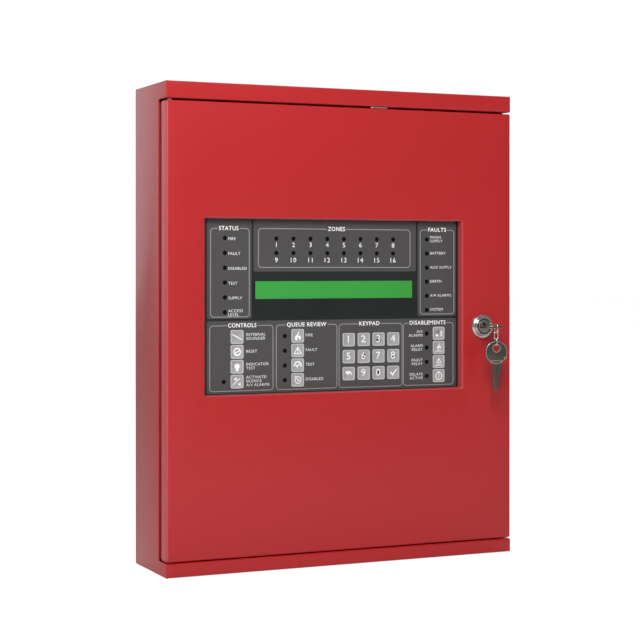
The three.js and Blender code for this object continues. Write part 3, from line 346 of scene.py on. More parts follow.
def turned(profile, centre, axis="y", segments=48):
    """A profile of (radius, place along the axis) turned round the axis through a
    centre: the other two axes get r cos t and r sin t."""
    profile = np.asarray(profile, float)
    t = np.arange(segments) / segments * 2 * math.pi
    third = "xyz".index(axis)
    u, v = [k for k in range(3) if k != third]
    points = np.zeros((len(profile), segments, 3))
    points[:, :, u] = centre[u] + profile[:, :1] * np.cos(t)
    points[:, :, v] = centre[v] + profile[:, :1] * np.sin(t)
    points[:, :, third] = profile[:, 1:2]
    return points.reshape(-1, 3), grid_faces(len(profile), segments)


def grid_faces(rows, columns, closed_rows=False):
    """Quads of a grid that is closed across its columns, and down its rows if asked."""
    a = np.arange(columns)
    b = (a + 1) % columns
    last = rows if closed_rows else rows - 1
    faces = [np.stack([i * columns + a, i * columns + b, (i + 1) % rows * columns + b,
                       (i + 1) % rows * columns + a], 1) for i in range(last)]
    return np.concatenate(faces).tolist()


def wire(path, normal, radius, sides=12):
    """A round wire along a closed flat path: path + r (cos s n + sin s m), where n lies
    in the path's plane across the path and m is the plane's normal."""
    along = np.roll(path, -1, 0) - np.roll(path, 1, 0)
    along = along / np.linalg.norm(along, axis=1)[:, None]
    across = np.cross(along, normal)
    s = np.arange(sides) / sides * 2 * math.pi
    ring = np.cos(s)[None, :, None] * across[:, None] + np.sin(s)[None, :, None] * normal
    points = path[:, None] + radius * ring
    return points.reshape(-1, 3), grid_faces(len(path), sides, closed_rows=True)


def loft(rings, closed=False):
    """Joins rings of the same number of points, one after the other."""
    rings = np.asarray(rings, float)
    return rings.reshape(-1, 3), grid_faces(len(rings), rings.shape[1], closed)


# %% Piece builder


class Piece:
    """Gathers shapes into one mesh, each with its own finish, and puts it on a body."""

    def __init__(self, name, body, slot):
        self.name, self.body, self.slot = name, body, slot
        self.points, self.faces, self.looks, self.finishes = [], [], [], []
        self.count = 0

    def add(self, shape, finish):
        """Adds a (points, faces) shape in millimetres."""
        points, faces = shape
        if finish not in self.finishes:
            self.finishes.append(finish)
        self.points.append(np.asarray(points, float))
        self.faces += [[index + self.count for index in face] for face in faces]
        self.looks += [self.finishes.index(finish)] * len(faces)
        self.count += len(points)
        return self

    def make(self, replaces=(), smooth=32):
        """Writes the mesh, welds its seams, turns its faces outwards and shades it."""
        mesh = bpy.data.meshes.new(self.name)
        mesh.from_pydata((np.concatenate(self.points) * MM).tolist(), [], self.faces)
        mesh.polygons.foreach_set("material_index", self.looks)
        for finish in self.finishes:
            mesh.materials.append(finish)
        work = bmesh.new()
        work.from_mesh(mesh)
        bmesh.ops.remove_doubles(work, verts=work.verts, dist=1e-7)
        bmesh.ops.dissolve_degenerate(work, edges=work.edges, dist=1e-8)
        bmesh.ops.recalc_face_normals(work, faces=work.faces)
        work.to_mesh(mesh)
        work.free()
        mesh.shade_smooth()
        mesh.set_sharp_from_angle(angle=math.radians(smooth))
        made = bpy.data.objects.new(self.name, mesh)
        bpy.context.scene.collection.objects.link(made)
        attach(made, self.body)
        if replaces:
            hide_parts(*replaces)
        return made


# %% [markdown]
# ## Finishes
# Powder coat is a thick satin plastic skin: its surface has a very fine orange-peel
# ripple and a slow drift in gloss. The finishes below share one recipe: a plain colour
# with a little noise in it, a noise in the roughness, and a fine bump.

# %% One recipe for a finish


def finish(name, colour, roughness, metallic=0.0, spread=0.05, tone=0.05, grain=900.0,
           bump=0.02, drift=12.0, coat=0.0, specular=0.5, glow=0.0, stretch=(1, 1, 1)):
    """A procedural material in object coordinates. The tone is the share of light and
    dark in the colour, the spread is the share in the roughness, the grain is the number
    of bumps per metre, and the stretch draws the grain out along an axis."""
    made = bpy.data.materials.new(name)
    made.use_nodes = True
    tree = made.node_tree
    shader = tree.nodes["Principled BSDF"]
    shader.inputs["Metallic"].default_value = metallic
    shader.inputs["Specular IOR Level"].default_value = specular
    shader.inputs["Coat Weight"].default_value = coat
    shader.inputs["Coat Roughness"].default_value = 0.15
    place = tree.nodes.new("ShaderNodeTexCoord")
    sizes = tree.nodes.new("ShaderNodeMapping")
    sizes.inputs["Scale"].default_value = stretch
    tree.links.new(place.outputs["Object"], sizes.inputs["Vector"])
    slow = tree.nodes.new("ShaderNodeTexNoise")
    slow.inputs["Scale"].default_value = drift
    slow.inputs["Detail"].default_value = 3.0
    fine = tree.nodes.new("ShaderNodeTexNoise")
    fine.inputs["Scale"].default_value = grain
    fine.inputs["Detail"].default_value = 2.0
    for noise in (slow, fine):
        tree.links.new(sizes.outputs["Vector"], noise.inputs["Vector"])
    shade = tree.nodes.new("ShaderNodeMapRange")
    shade.inputs["To Min"].default_value = 1 - tone
    shade.inputs["To Max"].default_value = 1 + tone
    tree.links.new(slow.outputs["Fac"], shade.inputs["Value"])
    tint = tree.nodes.new("ShaderNodeMix")
    tint.data_type = "RGBA"
    tint.blend_type = "MULTIPLY"
    tint.inputs["Factor"].default_value = 1.0
    tint.inputs[6].default_value = (*colour, 1)
    tree.links.new(shade.outputs["Result"], tint.inputs[7])
    tree.links.new(tint.outputs[2], shader.inputs["Base Color"])
    gloss = tree.nodes.new("ShaderNodeMapRange")
    gloss.inputs["To Min"].default_value = max(roughness * (1 - spread * 4), 0.02)
    gloss.inputs["To Max"].default_value = min(roughness * (1 + spread * 4), 1.0)
    tree.links.new(slow.outputs["Fac"], gloss.inputs["Value"])
    tree.links.new(gloss.outputs["Result"], shader.inputs["Roughness"])
    ripple = tree.nodes.new("ShaderNodeBump")
    ripple.inputs["Strength"].default_value = bump
    ripple.inputs["Distance"].default_value = 0.0005
    tree.links.new(fine.outputs["Fac"], ripple.inputs["Height"])
    tree.links.new(ripple.outputs["Normal"], shader.inputs["Normal"])
    if glow:
        shader.inputs["Emission Color"].default_value = (*colour, 1)
        shader.inputs["Emission Strength"].default_value = glow
    return made


def srgb(red, green, blue):
    """A colour given as 0 to 255 sRGB values, as linear light."""
    value = np.array([red, green, blue]) / 255
    return tuple(np.where(value <= 0.04045, value / 12.92, ((value + 0.055) / 1.055) ** 2.4))


# %% The finishes of this panel
red_paint = finish("red_powder_coat", (0.47, 0.014, 0.016), 0.36, grain=520, bump=0.05,
                   tone=0.03, spread=0.03, drift=9, coat=0.12)
film_black = finish("film_black", srgb(17, 23, 22), 0.42, grain=2600, bump=0.04)
film_grey = finish("film_grey", srgb(73, 71, 71), 0.46, grain=2600, bump=0.05, tone=0.03)
print_line = finish("print_line", srgb(150, 148, 148), 0.5, grain=2600)
print_white = finish("print_white", srgb(250, 250, 248), 0.5, grain=2600)
print_dark = finish("print_dark", srgb(62, 62, 62), 0.5, grain=2600)
# Near black: the lamp lenses and the seals have this colour, and the screw slots and cross
# recesses are painted shade in it.
lamp_dark = finish("lamp_dark", (0.0012, 0.0012, 0.0013), 0.3, grain=1500, specular=0.15)
key_face = finish("key_face", srgb(164, 163, 163), 0.55, grain=2200, bump=0.05)
key_rim = finish("key_rim", srgb(194, 194, 193), 0.5, grain=2200, bump=0.04)
display_green = finish("display_green", srgb(50, 146, 56), 0.3, grain=1500, tone=0.02,
                       coat=0.1, glow=0.22)
zinc = finish("zinc_plate", (0.62, 0.63, 0.64), 0.34, metallic=1.0, grain=700, bump=0.04,
              tone=0.12, drift=60)
nickel = finish("nickel_plate", (0.66, 0.63, 0.58), 0.2, metallic=1.0, grain=900, bump=0.05,
                tone=0.1, drift=160)
key_steel = finish("key_steel", (0.15, 0.13, 0.11), 0.34, metallic=1.0, grain=1400, bump=0.22,
                   tone=0.22, drift=220, stretch=(1, 1, 0.4))
key_shadow = finish("key_shadow", srgb(122, 122, 122), 0.5, grain=2200)
chrome = finish("chrome_plate", (0.9, 0.88, 0.83), 0.14, metallic=1.0, grain=900, bump=0.02,
                tone=0.04)
# A lighter red that paints highlights on the folded edges and light into the door's shaded groove.
red_edge = finish("red_edge", (0.56, 0.06, 0.07), 0.38, grain=2200, bump=0.03, tone=0.02)
# A brighter metal than the key's body, for the raised borders, the eye ring and the stop bar.
key_worn = finish("key_worn", (0.62, 0.58, 0.5), 0.3, metallic=1.0, grain=1400, bump=0.15,
                  tone=0.2, drift=260)
plug_metal = finish("plug_metal", (0.36, 0.35, 0.33), 0.38, metallic=1.0, grain=1400, bump=0.12,
                    tone=0.1, drift=200)
print("finishes", len(bpy.data.materials))

# %% [markdown]
# ## The box
# The back box is folded from one sheet: the top and the bottom turn over into front
# bands, and each band turns in again under the door's edge. The sides are flat plates
# welded on, cut back between the bands so that the door can wrap round them. Each fold
# is a bent line given thickness, and carried across the whole width.

# %% Sizes read from the frame
case_x, case_y, case_z = span("back_box")
door_x, door_y, door_z = span("door_panel")
label_x, label_y, label_z = span("fascia_label")
LEFT, RIGHT = case_x
FRONT, BACK = case_y
BOTTOM, TOP = case_z
SHEET = 1.5
TOP_BAND = TOP - door_z[1] - 1.6
BOTTOM_BAND = door_z[0] - BOTTOM - 1.0
BAND_RETURN = 14.0
SIDE_SETBACK = 21.0
FOLD = 1.3
print("case", [round(b - a, 1) for a, b in (case_x, case_y, case_z)],
      "bands", round(TOP_BAND, 1), round(BOTTOM_BAND, 1))

# %% Folded bands and welded sides
box = Piece("box_shell", "cabinet", "red_paint")
half = SHEET / 2
weld = 0.02


def channel(edge, band, up):
    """The middle line of a wall with its front band and return, in Y and Z. The sign is
    +1 at the top and -1 at the bottom."""
    wall = edge - up * half
    lip = edge - up * (band - half)
    return [(BACK - SHEET + 0.1, wall), (FRONT + half, wall), (FRONT + half, lip),
            (FRONT + BAND_RETURN, lip)]


for edge, band, up in ((TOP, TOP_BAND, 1), (BOTTOM, BOTTOM_BAND, -1)):
    outline = sheet_outline(channel(edge, band, up), SHEET, FOLD)
    box.add(slab([outline], LEFT + half, RIGHT - half, plane="yz"), red_paint)

side_edge = FRONT + SIDE_SETBACK
side_outline = np.array([
    (BACK - weld, BOTTOM + weld), (BACK - weld, TOP - weld), (FRONT + weld, TOP - weld),
    (FRONT + weld, TOP - TOP_BAND + weld), (side_edge, TOP - TOP_BAND + weld),
    (side_edge, BOTTOM + BOTTOM_BAND - weld), (FRONT + weld, BOTTOM + BOTTOM_BAND - weld),
    (FRONT + weld, BOTTOM + weld)])
for low, high in ((LEFT, LEFT + SHEET), (RIGHT - SHEET, RIGHT)):
    box.add(slab([side_outline], low, high, edge=0.7, plane="yz"), red_paint)


# %% The back wall, with its keyholes and its cable slot
KEYHOLE_INSET, KEYHOLE_LENGTH = 45.0, 12.0


def keyhole(x, z, head=5.5, slot=2.6, length=KEYHOLE_LENGTH):
    """A round mouth with a narrow slot above it, clockwise, as a hole is."""
    start = math.asin(slot / head)
    mouth = np.linspace(math.pi / 2 + start, math.pi * 2.5 - start, 21)
    top = np.linspace(0, math.pi, 9)
    points = np.concatenate([
        np.stack([x + head * np.cos(mouth), z + head * np.sin(mouth)], 1),
        np.stack([x + slot * np.cos(top), z + length + slot * np.sin(top)], 1)])
    return points[::-1]


holes = [keyhole(x, z) for x in (LEFT + KEYHOLE_INSET, RIGHT - KEYHOLE_INSET)
         for z in (BOTTOM + KEYHOLE_INSET, TOP - KEYHOLE_INSET - KEYHOLE_LENGTH)]
cable_slot = rectangle(0, TOP - 20, 120, 24, 1.5)[::-1]
back_wall = rectangle(0, 0, RIGHT - LEFT - 2 * weld, TOP - BOTTOM - 2 * weld, 1.0)
box.add(slab([back_wall, *holes, cable_slot], BACK - SHEET, BACK, edge=0.5), red_paint)
box_shell = box.make(replaces=["back_box"])
print("box faces", len(box_shell.data.polygons))

# %% [markdown]
# ## The door
# The door's face is one sheet with a square window folded in for the fascia and its
# outer edges folded back. Seen as rectangles one inside the other, the whole pan is a
# loft: from the back of the recess, over its rounded lip, across the face, round the
# outer bend, along the flange and back again one thickness further in.

# %% The pan of the door
opening_x = (label_x[0] - 0.3, label_x[1] + 0.3)
opening_z = (label_z[0] - 0.3, label_z[1] + 0.3)
RECESS_REAR = label_y[1]
LIP, BEND, FLANGE = 1.6, 1.7, 12.0
BEND_RINGS = 7      # the rectangles that follow each quarter bend


def around(xs, zs, grow, corner, y):
    """A rounded rectangle grown outwards from two spans, at a depth."""
    flat = rectangle(middle(xs), middle(zs), xs[1] - xs[0] + 2 * grow,
                     zs[1] - zs[0] + 2 * grow, max(corner + grow, 0.3), steps=5)
    return np.insert(flat, 1, y, axis=1)


def lip_levels():
    """(grow, depth) round the recess lip, for t from a quarter turn down to nothing:
    grow = L - L sin t, depth = L - L cos t."""
    turn = np.linspace(math.pi / 2, 0, BEND_RINGS)
    return [(LIP - LIP * math.sin(t), LIP - LIP * math.cos(t)) for t in turn]


def door_rings():
    """Rectangles that follow the sheet: opening, lip, face, outer bend, flange and back."""
    turn = np.linspace(0, math.pi / 2, BEND_RINGS)
    hole = [(0, RECESS_REAR - FRONT)] + lip_levels()
    bend_out = [(-BEND * (1 - math.sin(t)), BEND * (1 - math.cos(t))) for t in turn]
    inner = BEND - SHEET
    bend_in = [(-SHEET - inner * (1 - math.sin(t)), SHEET + inner * (1 - math.cos(t)))
               for t in turn[::-1]]
    rings = [around(opening_x, opening_z, g, 1.2, FRONT + d) for g, d in hole]
    rings += [around(door_x, door_z, g, 1.6, FRONT + d) for g, d in bend_out + [(0, FLANGE)]]
    rings += [around(door_x, door_z, g, 1.6, FRONT + d) for g, d in [(-SHEET, FLANGE)] + bend_in]
    wall_back = [(LIP + 0.6, SHEET), (SHEET, LIP + SHEET), (SHEET, RECESS_REAR - FRONT)]
    rings += [around(opening_x, opening_z, g, 1.2, FRONT + d) for g, d in wall_back]
    return rings


door = Piece("door_skin", "door", "red_paint")
door.add(loft(door_rings(), closed=True), red_paint)

# The folded edges catch the light, and that light is painted: the recess wall, most of the lip,
# and the left side of the outer bend and flange take a lighter red, a painted highlight. Each row
# of faces has one face for each point of a rectangle, and its last face is the left side.
around_count = len(door_rings()[0])
door.finishes.append(red_edge)
highlight_look = door.finishes.index(red_edge)
LIP_ROWS = 5
door.looks[:LIP_ROWS * around_count] = [highlight_look] * (LIP_ROWS * around_count)
first_outer_row = 1 + BEND_RINGS
for row in range(first_outer_row, first_outer_row + BEND_RINGS):
    left_side = (row + 1) * around_count - 1
    door.looks[left_side] = highlight_look

# %% The set-in rear edges and the studs behind the door
STEP, DOOR_DEPTH = 2.1, door_y[1] - door_y[0]
REACH_BACK = 3     # how far the edges reach behind the door's depth
# The set-in rear edges take the lighter red as well: painted light in the shaded groove beside the
# door.
for side, sign in ((LEFT, 1), (RIGHT, -1)):
    flange_rear = FRONT + FLANGE - half - 0.05
    line = [(side + sign * 0.9, flange_rear), (side + sign * (STEP + half), flange_rear),
            (side + sign * (STEP + half), FRONT + DOOR_DEPTH + REACH_BACK)]
    door.add(slab([sheet_outline(line, SHEET, 1.1)], door_z[0] + 0.3, door_z[1] - 0.3,
                  edge=0.3, plane="xy"), red_edge)
fascia_x, fascia_z = middle(opening_x), middle(opening_z)
plate_y = span("fascia_plate")[1]
stud_z = (opening_z[1] - opening_z[0]) / 2 + 5.2
stud_places = [(fascia_x + k * (opening_x[1] - opening_x[0]), fascia_z + s * stud_z)
               for s in (-1, 1) for k in (-0.4, 0, 0.4)]
stud_end = plate_y[0] + 6.5
rod = [(0, FRONT + half), (1.5, FRONT + half), (1.5, plate_y[0] + 6), (1.1, stud_end),
       (0, stud_end)]
for x, z in stud_places:
    door.add(turned(rod, (x, 0, z), segments=14), zinc)
door_skin = door.make(replaces=["door_panel"])
print("door faces", len(door_skin.data.polygons))

# %% The buffer above the door, and the dust seals in the gaps over and under it
buffer = Piece("door_buffer", "cabinet", "zinc_steel")
buffer.add(slab([rectangle(34.5, FRONT + 5.5, 17.6, 8, 1.0)], door_z[1] + 0.35,
                door_z[1] + 1.45, edge=0.2, plane="xy"), zinc)
buffer.make()

# A strip closes the upper gap from behind, and a block closes the right end of each gap.
seal_y = FRONT + BAND_RETURN
seal = Piece("door_seal", "cabinet", "black_plastic")
seal.add(slab([span_rectangle((LEFT + 20, RIGHT - 9), (door_z[1] - 6, TOP - TOP_BAND + 1.3))],
              seal_y + 0.05, seal_y + 3, edge=0.4), lamp_dark)
for gap_z in ((door_z[1] + 0.15, TOP - TOP_BAND + 1.3), (BOTTOM + BOTTOM_BAND - 1.3,
                                                        door_z[0] - 0.15)):
    seal.add(slab([span_rectangle((RIGHT - 9.3, RIGHT - 0.6), gap_z)], seal_y + 0.05, seal_y + 3,
                  edge=0.2), lamp_dark)
seal.make()

# %% Hinge pins
pins = {}
for name, up in (("hinge_pin_top", 1), ("hinge_pin_bottom", -1)):
    pin_x, pin_y, pin_z = span(name)
    head, tip = (pin_z[1], pin_z[0]) if up > 0 else (pin_z[0], pin_z[1])
    profile = [(0, head), (2.9, head), (3.6, head - up * 0.6), (3.6, head - up * 1.6),
               (2.0, head - up * 1.6), (2.0, tip + up * 0.8), (1.5, tip), (0, tip)]
    pins[name] = Piece(f"{name}_turned", "cabinet", "zinc_steel")
    pins[name].add(turned(profile, (middle(pin_x), middle(pin_y), 0), axis="z", segments=32),
                   zinc).make(replaces=[name])

# %% [markdown]
# ## The fascia
# The fascia is a printed film: a black sheet with grey fields on it, thin frame lines
# broken behind their titles, lamp holes and words. Printing is only ink, so each layer
# is a very thin slab, a few hundredths of a millimetre higher than the one below it.
# All of it rides on the door.

# %% The black film, with its holes for the keys and the display
BUTTONS = sorted(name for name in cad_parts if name.startswith("button_"))
CAP = 12.4
CAP_CORNER = 1.6
FILM_FACE = label_y[0]
window_x, window_y, window_z = span("lcd_window")
LAP = 1.2
button_spots = {name: (middle(span(name)[0]), middle(span(name)[2])) for name in BUTTONS}


EVERYWHERE = (-math.inf, math.inf)


def cap_holes(xs=EVERYWHERE, zs=EVERYWHERE):
    """Clockwise holes for the keys whose centres lie inside two spans."""
    return [rectangle(x, z, CAP + 0.3, CAP + 0.3, CAP_CORNER + 0.15)[::-1]
            for x, z in button_spots.values() if xs[0] < x < xs[1] and zs[0] < z < zs[1]]


# The film laps further over the top of the window, so a band of black film stands where the
# recessed display has a thin shadow: painted shade.
TOP_LAP = LAP + 0.8
window_hole = span_rectangle((window_x[0] + LAP, window_x[1] - LAP),
                             (window_z[0] + LAP, window_z[1] - TOP_LAP), 0.5)[::-1]
film = Piece("fascia_film", "door", "label_film")
film.add(slab([span_rectangle(label_x, label_z, 1.0), window_hole, *cap_holes()],
              FILM_FACE + 0.02, label_y[1], edge=0.15), film_black)

# %% The grey fields and their frame lines
INK = 0.035
field_level = FILM_FACE + 0.02
# Each field is its span in X and its span in Z. A frame line has both spans too, and
# then the middle of its title and the title's width.
FIELDS = {
    "status": ((-131.8, -89.6), (8.3, 96.3)),
    "zones": ((-87.7, 75.5), (50.1, 96.3)),
    "faults": ((77.3, 117.9), (8.3, 96.3)),
    "lower": ((-132.1, 117.9), (-58.3, 6.2)),
}
FRAMES = {
    "STATUS": ((-128.6, -91.8), (9.8, 88.4), -111.4, 18.6),
    "ZONES": ((-83.0, 69.3), (53.8, 88.6), -6.1, 17.2),
    "FAULTS": ((80.0, 115.7), (10.2, 88.8), 97.9, 19.0),
    "CONTROLS": ((-129.4, -68.8), (-56.0, 2.0), -98.5, 27.2),
    "QUEUE REVIEW": ((-65.6, -5.7), (-56.0, 2.0), -35.8, 39.0),
    "KEYPAD": ((-3.5, 61.0), (-56.0, 2.0), 27.3, 20.9),
    "DISABLEMENTS": ((62.4, 114.8), (-56.0, 2.0), 87.9, 37.8),
}
for xs, zs in FIELDS.values():
    film.add(slab([span_rectangle(xs, zs, 1.8), *cap_holes(xs, zs)],
                  field_level - INK, field_level), film_grey)
LINE, LINE_CORNER, TITLE_SPACE = 0.75, 3.0, 2.2


def broken_frame(xs, zs, title_x, title_width):
    """A rounded frame line that runs from one side of its title round to the other: the
    open path of a rounded rectangle, given a line's width."""
    path = span_rectangle(xs, zs, LINE_CORNER)
    top = zs[1]
    gap = title_width + TITLE_SPACE
    start = np.argmax((np.abs(path[:, 1] - top) < 1e-6) & (path[:, 0] < title_x))
    path = np.roll(path, -start, 0)
    path = np.vstack([[title_x - gap / 2, top], path, [title_x + gap / 2, top]])
    mitre = line_mitres(path)
    return np.concatenate([path - mitre * LINE / 2, (path + mitre * LINE / 2)[::-1]])


for xs, zs, title_x, title_width in FRAMES.values():
    film.add(slab([broken_frame(xs, zs, title_x, title_width)], field_level - 2 * INK,
                  field_level - INK), print_line)

# %% The lamps: small dark lenses in their holes
LAMP_RADIUS = 2.05
side_rows = 79.85 - 13.17 * np.arange(6)
zone_columns = -65.6 + 16.75 * np.arange(8)
column_rows = -8.0 - 13.25 * np.arange(4)
lamps = [(x, z) for x in (-115.1, 86.9) for z in side_rows]
lamps += [(x, z) for z in (79.7, 66.7) for x in zone_columns]
lamps += [(x, z) for x in (-57.35, 86.85) for z in column_rows] + [(-116.05, column_rows[3])]
for x, z in lamps:
    lens = [(0, field_level - 0.42), (0.8, field_level - 0.38), (1.45, field_level - 0.24),
            (LAMP_RADIUS, field_level - INK), (LAMP_RADIUS, field_level)]
    film.add(turned(lens[:-1] + [(0, field_level)], (x, 0, z), segments=24), lamp_dark)
print("lamps on the fascia", len(lamps))

# %% [markdown]
# ### Words and numbers
# The words are the plain names of functions. Each is a text curve with the built-in
# letters, given a little thickness and weight, made into a mesh and gathered into one
# piece, so that the whole print is a single object.

# %% A helper that sets type
type_cache = {}


def lettering(text, height, weight=0.0):
    """The mesh of one line of text, as points in the plane and faces, with capitals of
    the given height. Its left edge is at zero and its baseline at zero."""
    key = (text, height, weight)
    if key not in type_cache:
        curve = bpy.data.curves.new("type", "FONT")
        curve.body = text
        curve.size = 1.0
        curve.offset = weight
        curve.space_character = 1.12
        curve.resolution_u = 3
        holder = bpy.data.objects.new("type", curve)
        bpy.context.scene.collection.objects.link(holder)
        flat = bpy.data.meshes.new_from_object(
            holder.evaluated_get(bpy.context.evaluated_depsgraph_get()))
        points = np.zeros(len(flat.vertices) * 3)
        flat.vertices.foreach_get("co", points)
        points = points.reshape(-1, 3)[:, :2]
        faces = [list(face.vertices) for face in flat.polygons]
        bpy.data.objects.remove(holder)
        bpy.data.curves.remove(curve)
        bpy.data.meshes.remove(flat)
        type_cache[key] = ((points - (points[:, 0].min(), 0)) * height / 0.715, faces)
    return type_cache[key]


def thick(points, faces, level, rise):
    """Gives a flat face set two faces and a wall along each edge that only one face has."""
    count = len(points)
    place = np.zeros((2 * count, 3))
    place[:, [0, 2]] = np.vstack([points, points])
    place[:count, 1], place[count:, 1] = level, level - rise
    used = {}
    for face in faces:
        for a, b in zip(face, face[1:] + face[:1]):
            used[(a, b)] = True
    rim = [(a, b) for a, b in used if (b, a) not in used]
    shell = [face[::-1] for face in faces] + [[i + count for i in face] for face in faces]
    return place, shell + [[a, b, b + count, a + count] for a, b in rim]


def write(piece, text, x, z, height, align="left", weight=0.0, squeeze=1.0, level=None,
          fit=None):
    """Prints one line of capitals with its middle at a height, squeezed by a factor or to
    fit a width."""
    points, faces = lettering(text, height, weight)
    points = points * (fit / points[:, 0].max() if fit else squeeze, 1)
    width = points[:, 0].max()
    shift = {"left": 0, "centre": -width / 2, "right": -width}[align]
    level = field_level - INK if level is None else level
    piece.add(thick(points + (x + shift, z - height / 2), faces, level, INK), print_white)


legend = Piece("fascia_legend", "door", "label_film")
for title, (xs, zs, title_x, title_width) in FRAMES.items():
    write(legend, title, title_x, zs[1] + 0.35, 3.7, "centre", weight=0.017, fit=title_width)
print("titles", len(FRAMES))

# %% The labels beside the lamps and the keys
SMALL, LABEL_WIDEN = 2.6, 1.02
STATUS_WORDS = [["FIRE"], ["FAULT"], ["DISABLED"], ["TEST"], ["SUPPLY"], ["ACCESS", "LEVEL"]]
FAULT_WORDS = [["MAINS", "SUPPLY"], ["BATTERY"], ["AUX SUPPLY"], ["EARTH"], ["A/V ALARMS"],
               ["SYSTEM"]]
CONTROL_WORDS = [["INTERNAL", "SOUNDER"], ["RESET"], ["INDICATOR", "TEST"],
                 ["ACTIVATE/", "SILENCE", "A/V ALARMS"]]
QUEUE_WORDS = [["FIRE"], ["FAULT"], ["TEST"], ["DISABLED"]]
DISABLE_WORDS = [["A/V", "ALARMS"], ["ALARM", "RELAY"], ["FAULT", "RELAY"],
                 ["DELAYS", "ACTIVE"]]


def label_column(words, x, rows, align="left", height=SMALL, pitch=3.5):
    """Writes a column of labels, each of one or more lines centred on its row."""
    for lines, z in zip(words, rows):
        for i, line in enumerate(lines):
            write(legend, line, x, z + pitch * ((len(lines) - 1) / 2 - i), height, align,
                  weight=-0.004, squeeze=LABEL_WIDEN)


label_column(STATUS_WORDS, -111.8, side_rows - 0.5)
label_column(FAULT_WORDS, 90.5, side_rows + 0.5)
label_column(CONTROL_WORDS, -94.7, column_rows + 0.3)
label_column(QUEUE_WORDS, -36.8, column_rows + 0.6)
label_column(DISABLE_WORDS, 82.5, column_rows + 0.3, "right")
ZONE_DIGIT, ZONE_WIDEN = 4.3, 1.06
for i, x in enumerate(zone_columns):
    write(legend, str(i + 1), x, 74.3, ZONE_DIGIT, "centre", squeeze=ZONE_WIDEN)
    write(legend, str(i + 1 + len(zone_columns)), x, 60.5, ZONE_DIGIT, "centre",
          squeeze=ZONE_WIDEN)
legend_piece = legend.make(smooth=10)
film.make(replaces=["fascia_label"], smooth=25)
print("legend faces", len(legend_piece.data.polygons))

# %% The display: a green window with a green pane behind it
window = Piece("display_window", "door", "green_filter")
glass_x = (window_x[0] + 0.05, window_x[1] - 0.05)
glass_z = (window_z[0] + 0.05, window_z[1] - 0.05)
window.add(slab([span_rectangle(glass_x, glass_z, 0.6)], window_y[0] + 0.25, window_y[1] - 0.02,
                edge=0.1), display_green)
pane_x = (window_x[0] + LAP + 0.1, window_x[1] - LAP - 0.1)
pane_z = (window_z[0] + LAP + 0.1, window_z[1] - TOP_LAP - 0.1)
window.add(slab([span_rectangle(pane_x, pane_z, 0.5)], FILM_FACE + 0.22, window_y[0] + 0.3,
                edge=0.12), display_green)
window.make(replaces=["lcd_window"])

# %% [markdown]
# ### The rubber keys
# A key is a soft square cap with a paler raised rim round a flat face, and its symbol is
# moulded in white. All 24 caps share one profile: rounded squares that grow from the
# face's hollow, over the rim and down the side, to the collar behind the plate.

# %% The cap's profile and the key bodies
CAP_FACE, CAP_REAR = span(BUTTONS[0])[1]
COLLAR, COLLAR_THICK = (7.4, 6.2, 0.8), 0.7
STEM = (2.0, 2.0, 1.99)
plate_rear = plate_y[0] + SHEET


def cap_rings(x, z):
    """Rounded rectangles that follow the cap: squares (half width, corner, depth) from
    its hollow over the rim and down the side, and then the collar and the stem, each
    (half width, half height, corner, depth)."""
    back = plate_rear + 0.4 - CAP_FACE
    end = CAP_REAR - CAP_FACE
    squares = [(0.01, 0.005, 0.16), (5.25, 0.9, 0.16), (5.42, 1.0, 0.04), (5.62, 1.1, 0.0),
               (5.92, 1.3, 0.0), (6.12, 1.5, 0.12), (6.2, 1.6, 0.4), (6.2, 1.6, back)]
    steps = [(h, h, c, d) for h, c, d in squares]
    steps += [(*COLLAR, back), (*COLLAR, back + COLLAR_THICK), (*STEM, back + COLLAR_THICK),
              (*STEM, end), (0.01, 0.01, 0.005, end)]
    return [np.insert(rectangle(x, z, 2 * w, 2 * h, c, steps=4), 1, CAP_FACE + d, axis=1)
            for w, h, c, d in steps]


def capped(rings):
    """A loft whose first and last rings are closed with one face each."""
    points, faces = loft(rings)
    count = len(rings[0])
    last = (len(rings) - 1) * count
    return points, faces + [list(range(count))[::-1], list(range(last, last + count))]


# %% Symbols for the keys, in a square of two by two
def blob(*points):
    """A closed outline from corner points."""
    return np.array(points, float)


def cubics(a, b, c, d, steps):
    """Catmull-Rom curves from b to c, with neighbours a and d, at even steps of t:
    (2b + (c - a) t + (2a - 5b + 4c - d) t^2 + (3b - a - 3c + d) t^3) / 2."""
    t = (np.arange(steps) / steps)[None, :, None]
    a, b, c, d = (v[:, None] for v in (a, b, c, d))
    curve = 0.5 * (2 * b + (c - a) * t + (2 * a - 5 * b + 4 * c - d) * t ** 2
                   + (3 * b - a - 3 * c + d) * t ** 3)
    return curve.reshape(-1, b.shape[-1])


def smooth_loop(points, steps=5):
    """A closed Catmull-Rom curve through points."""
    p = np.array(points, float)
    return cubics(*(np.roll(p, k, 0) for k in (1, 0, -1, -2)), steps)


def ring_shape(x, z, outer, inner, sides=28):
    """A ring: a disc with a round hole."""
    return [disc(x, z, outer, sides), disc(x, z, inner, sides)[::-1]]


def triangle_ring(radius, width):
    """A triangle's outline of an even width, its point up."""
    outer = disc(0, -radius * 0.18, radius, 3, math.pi / 2)
    return [outer, inset(outer, width)[::-1]]


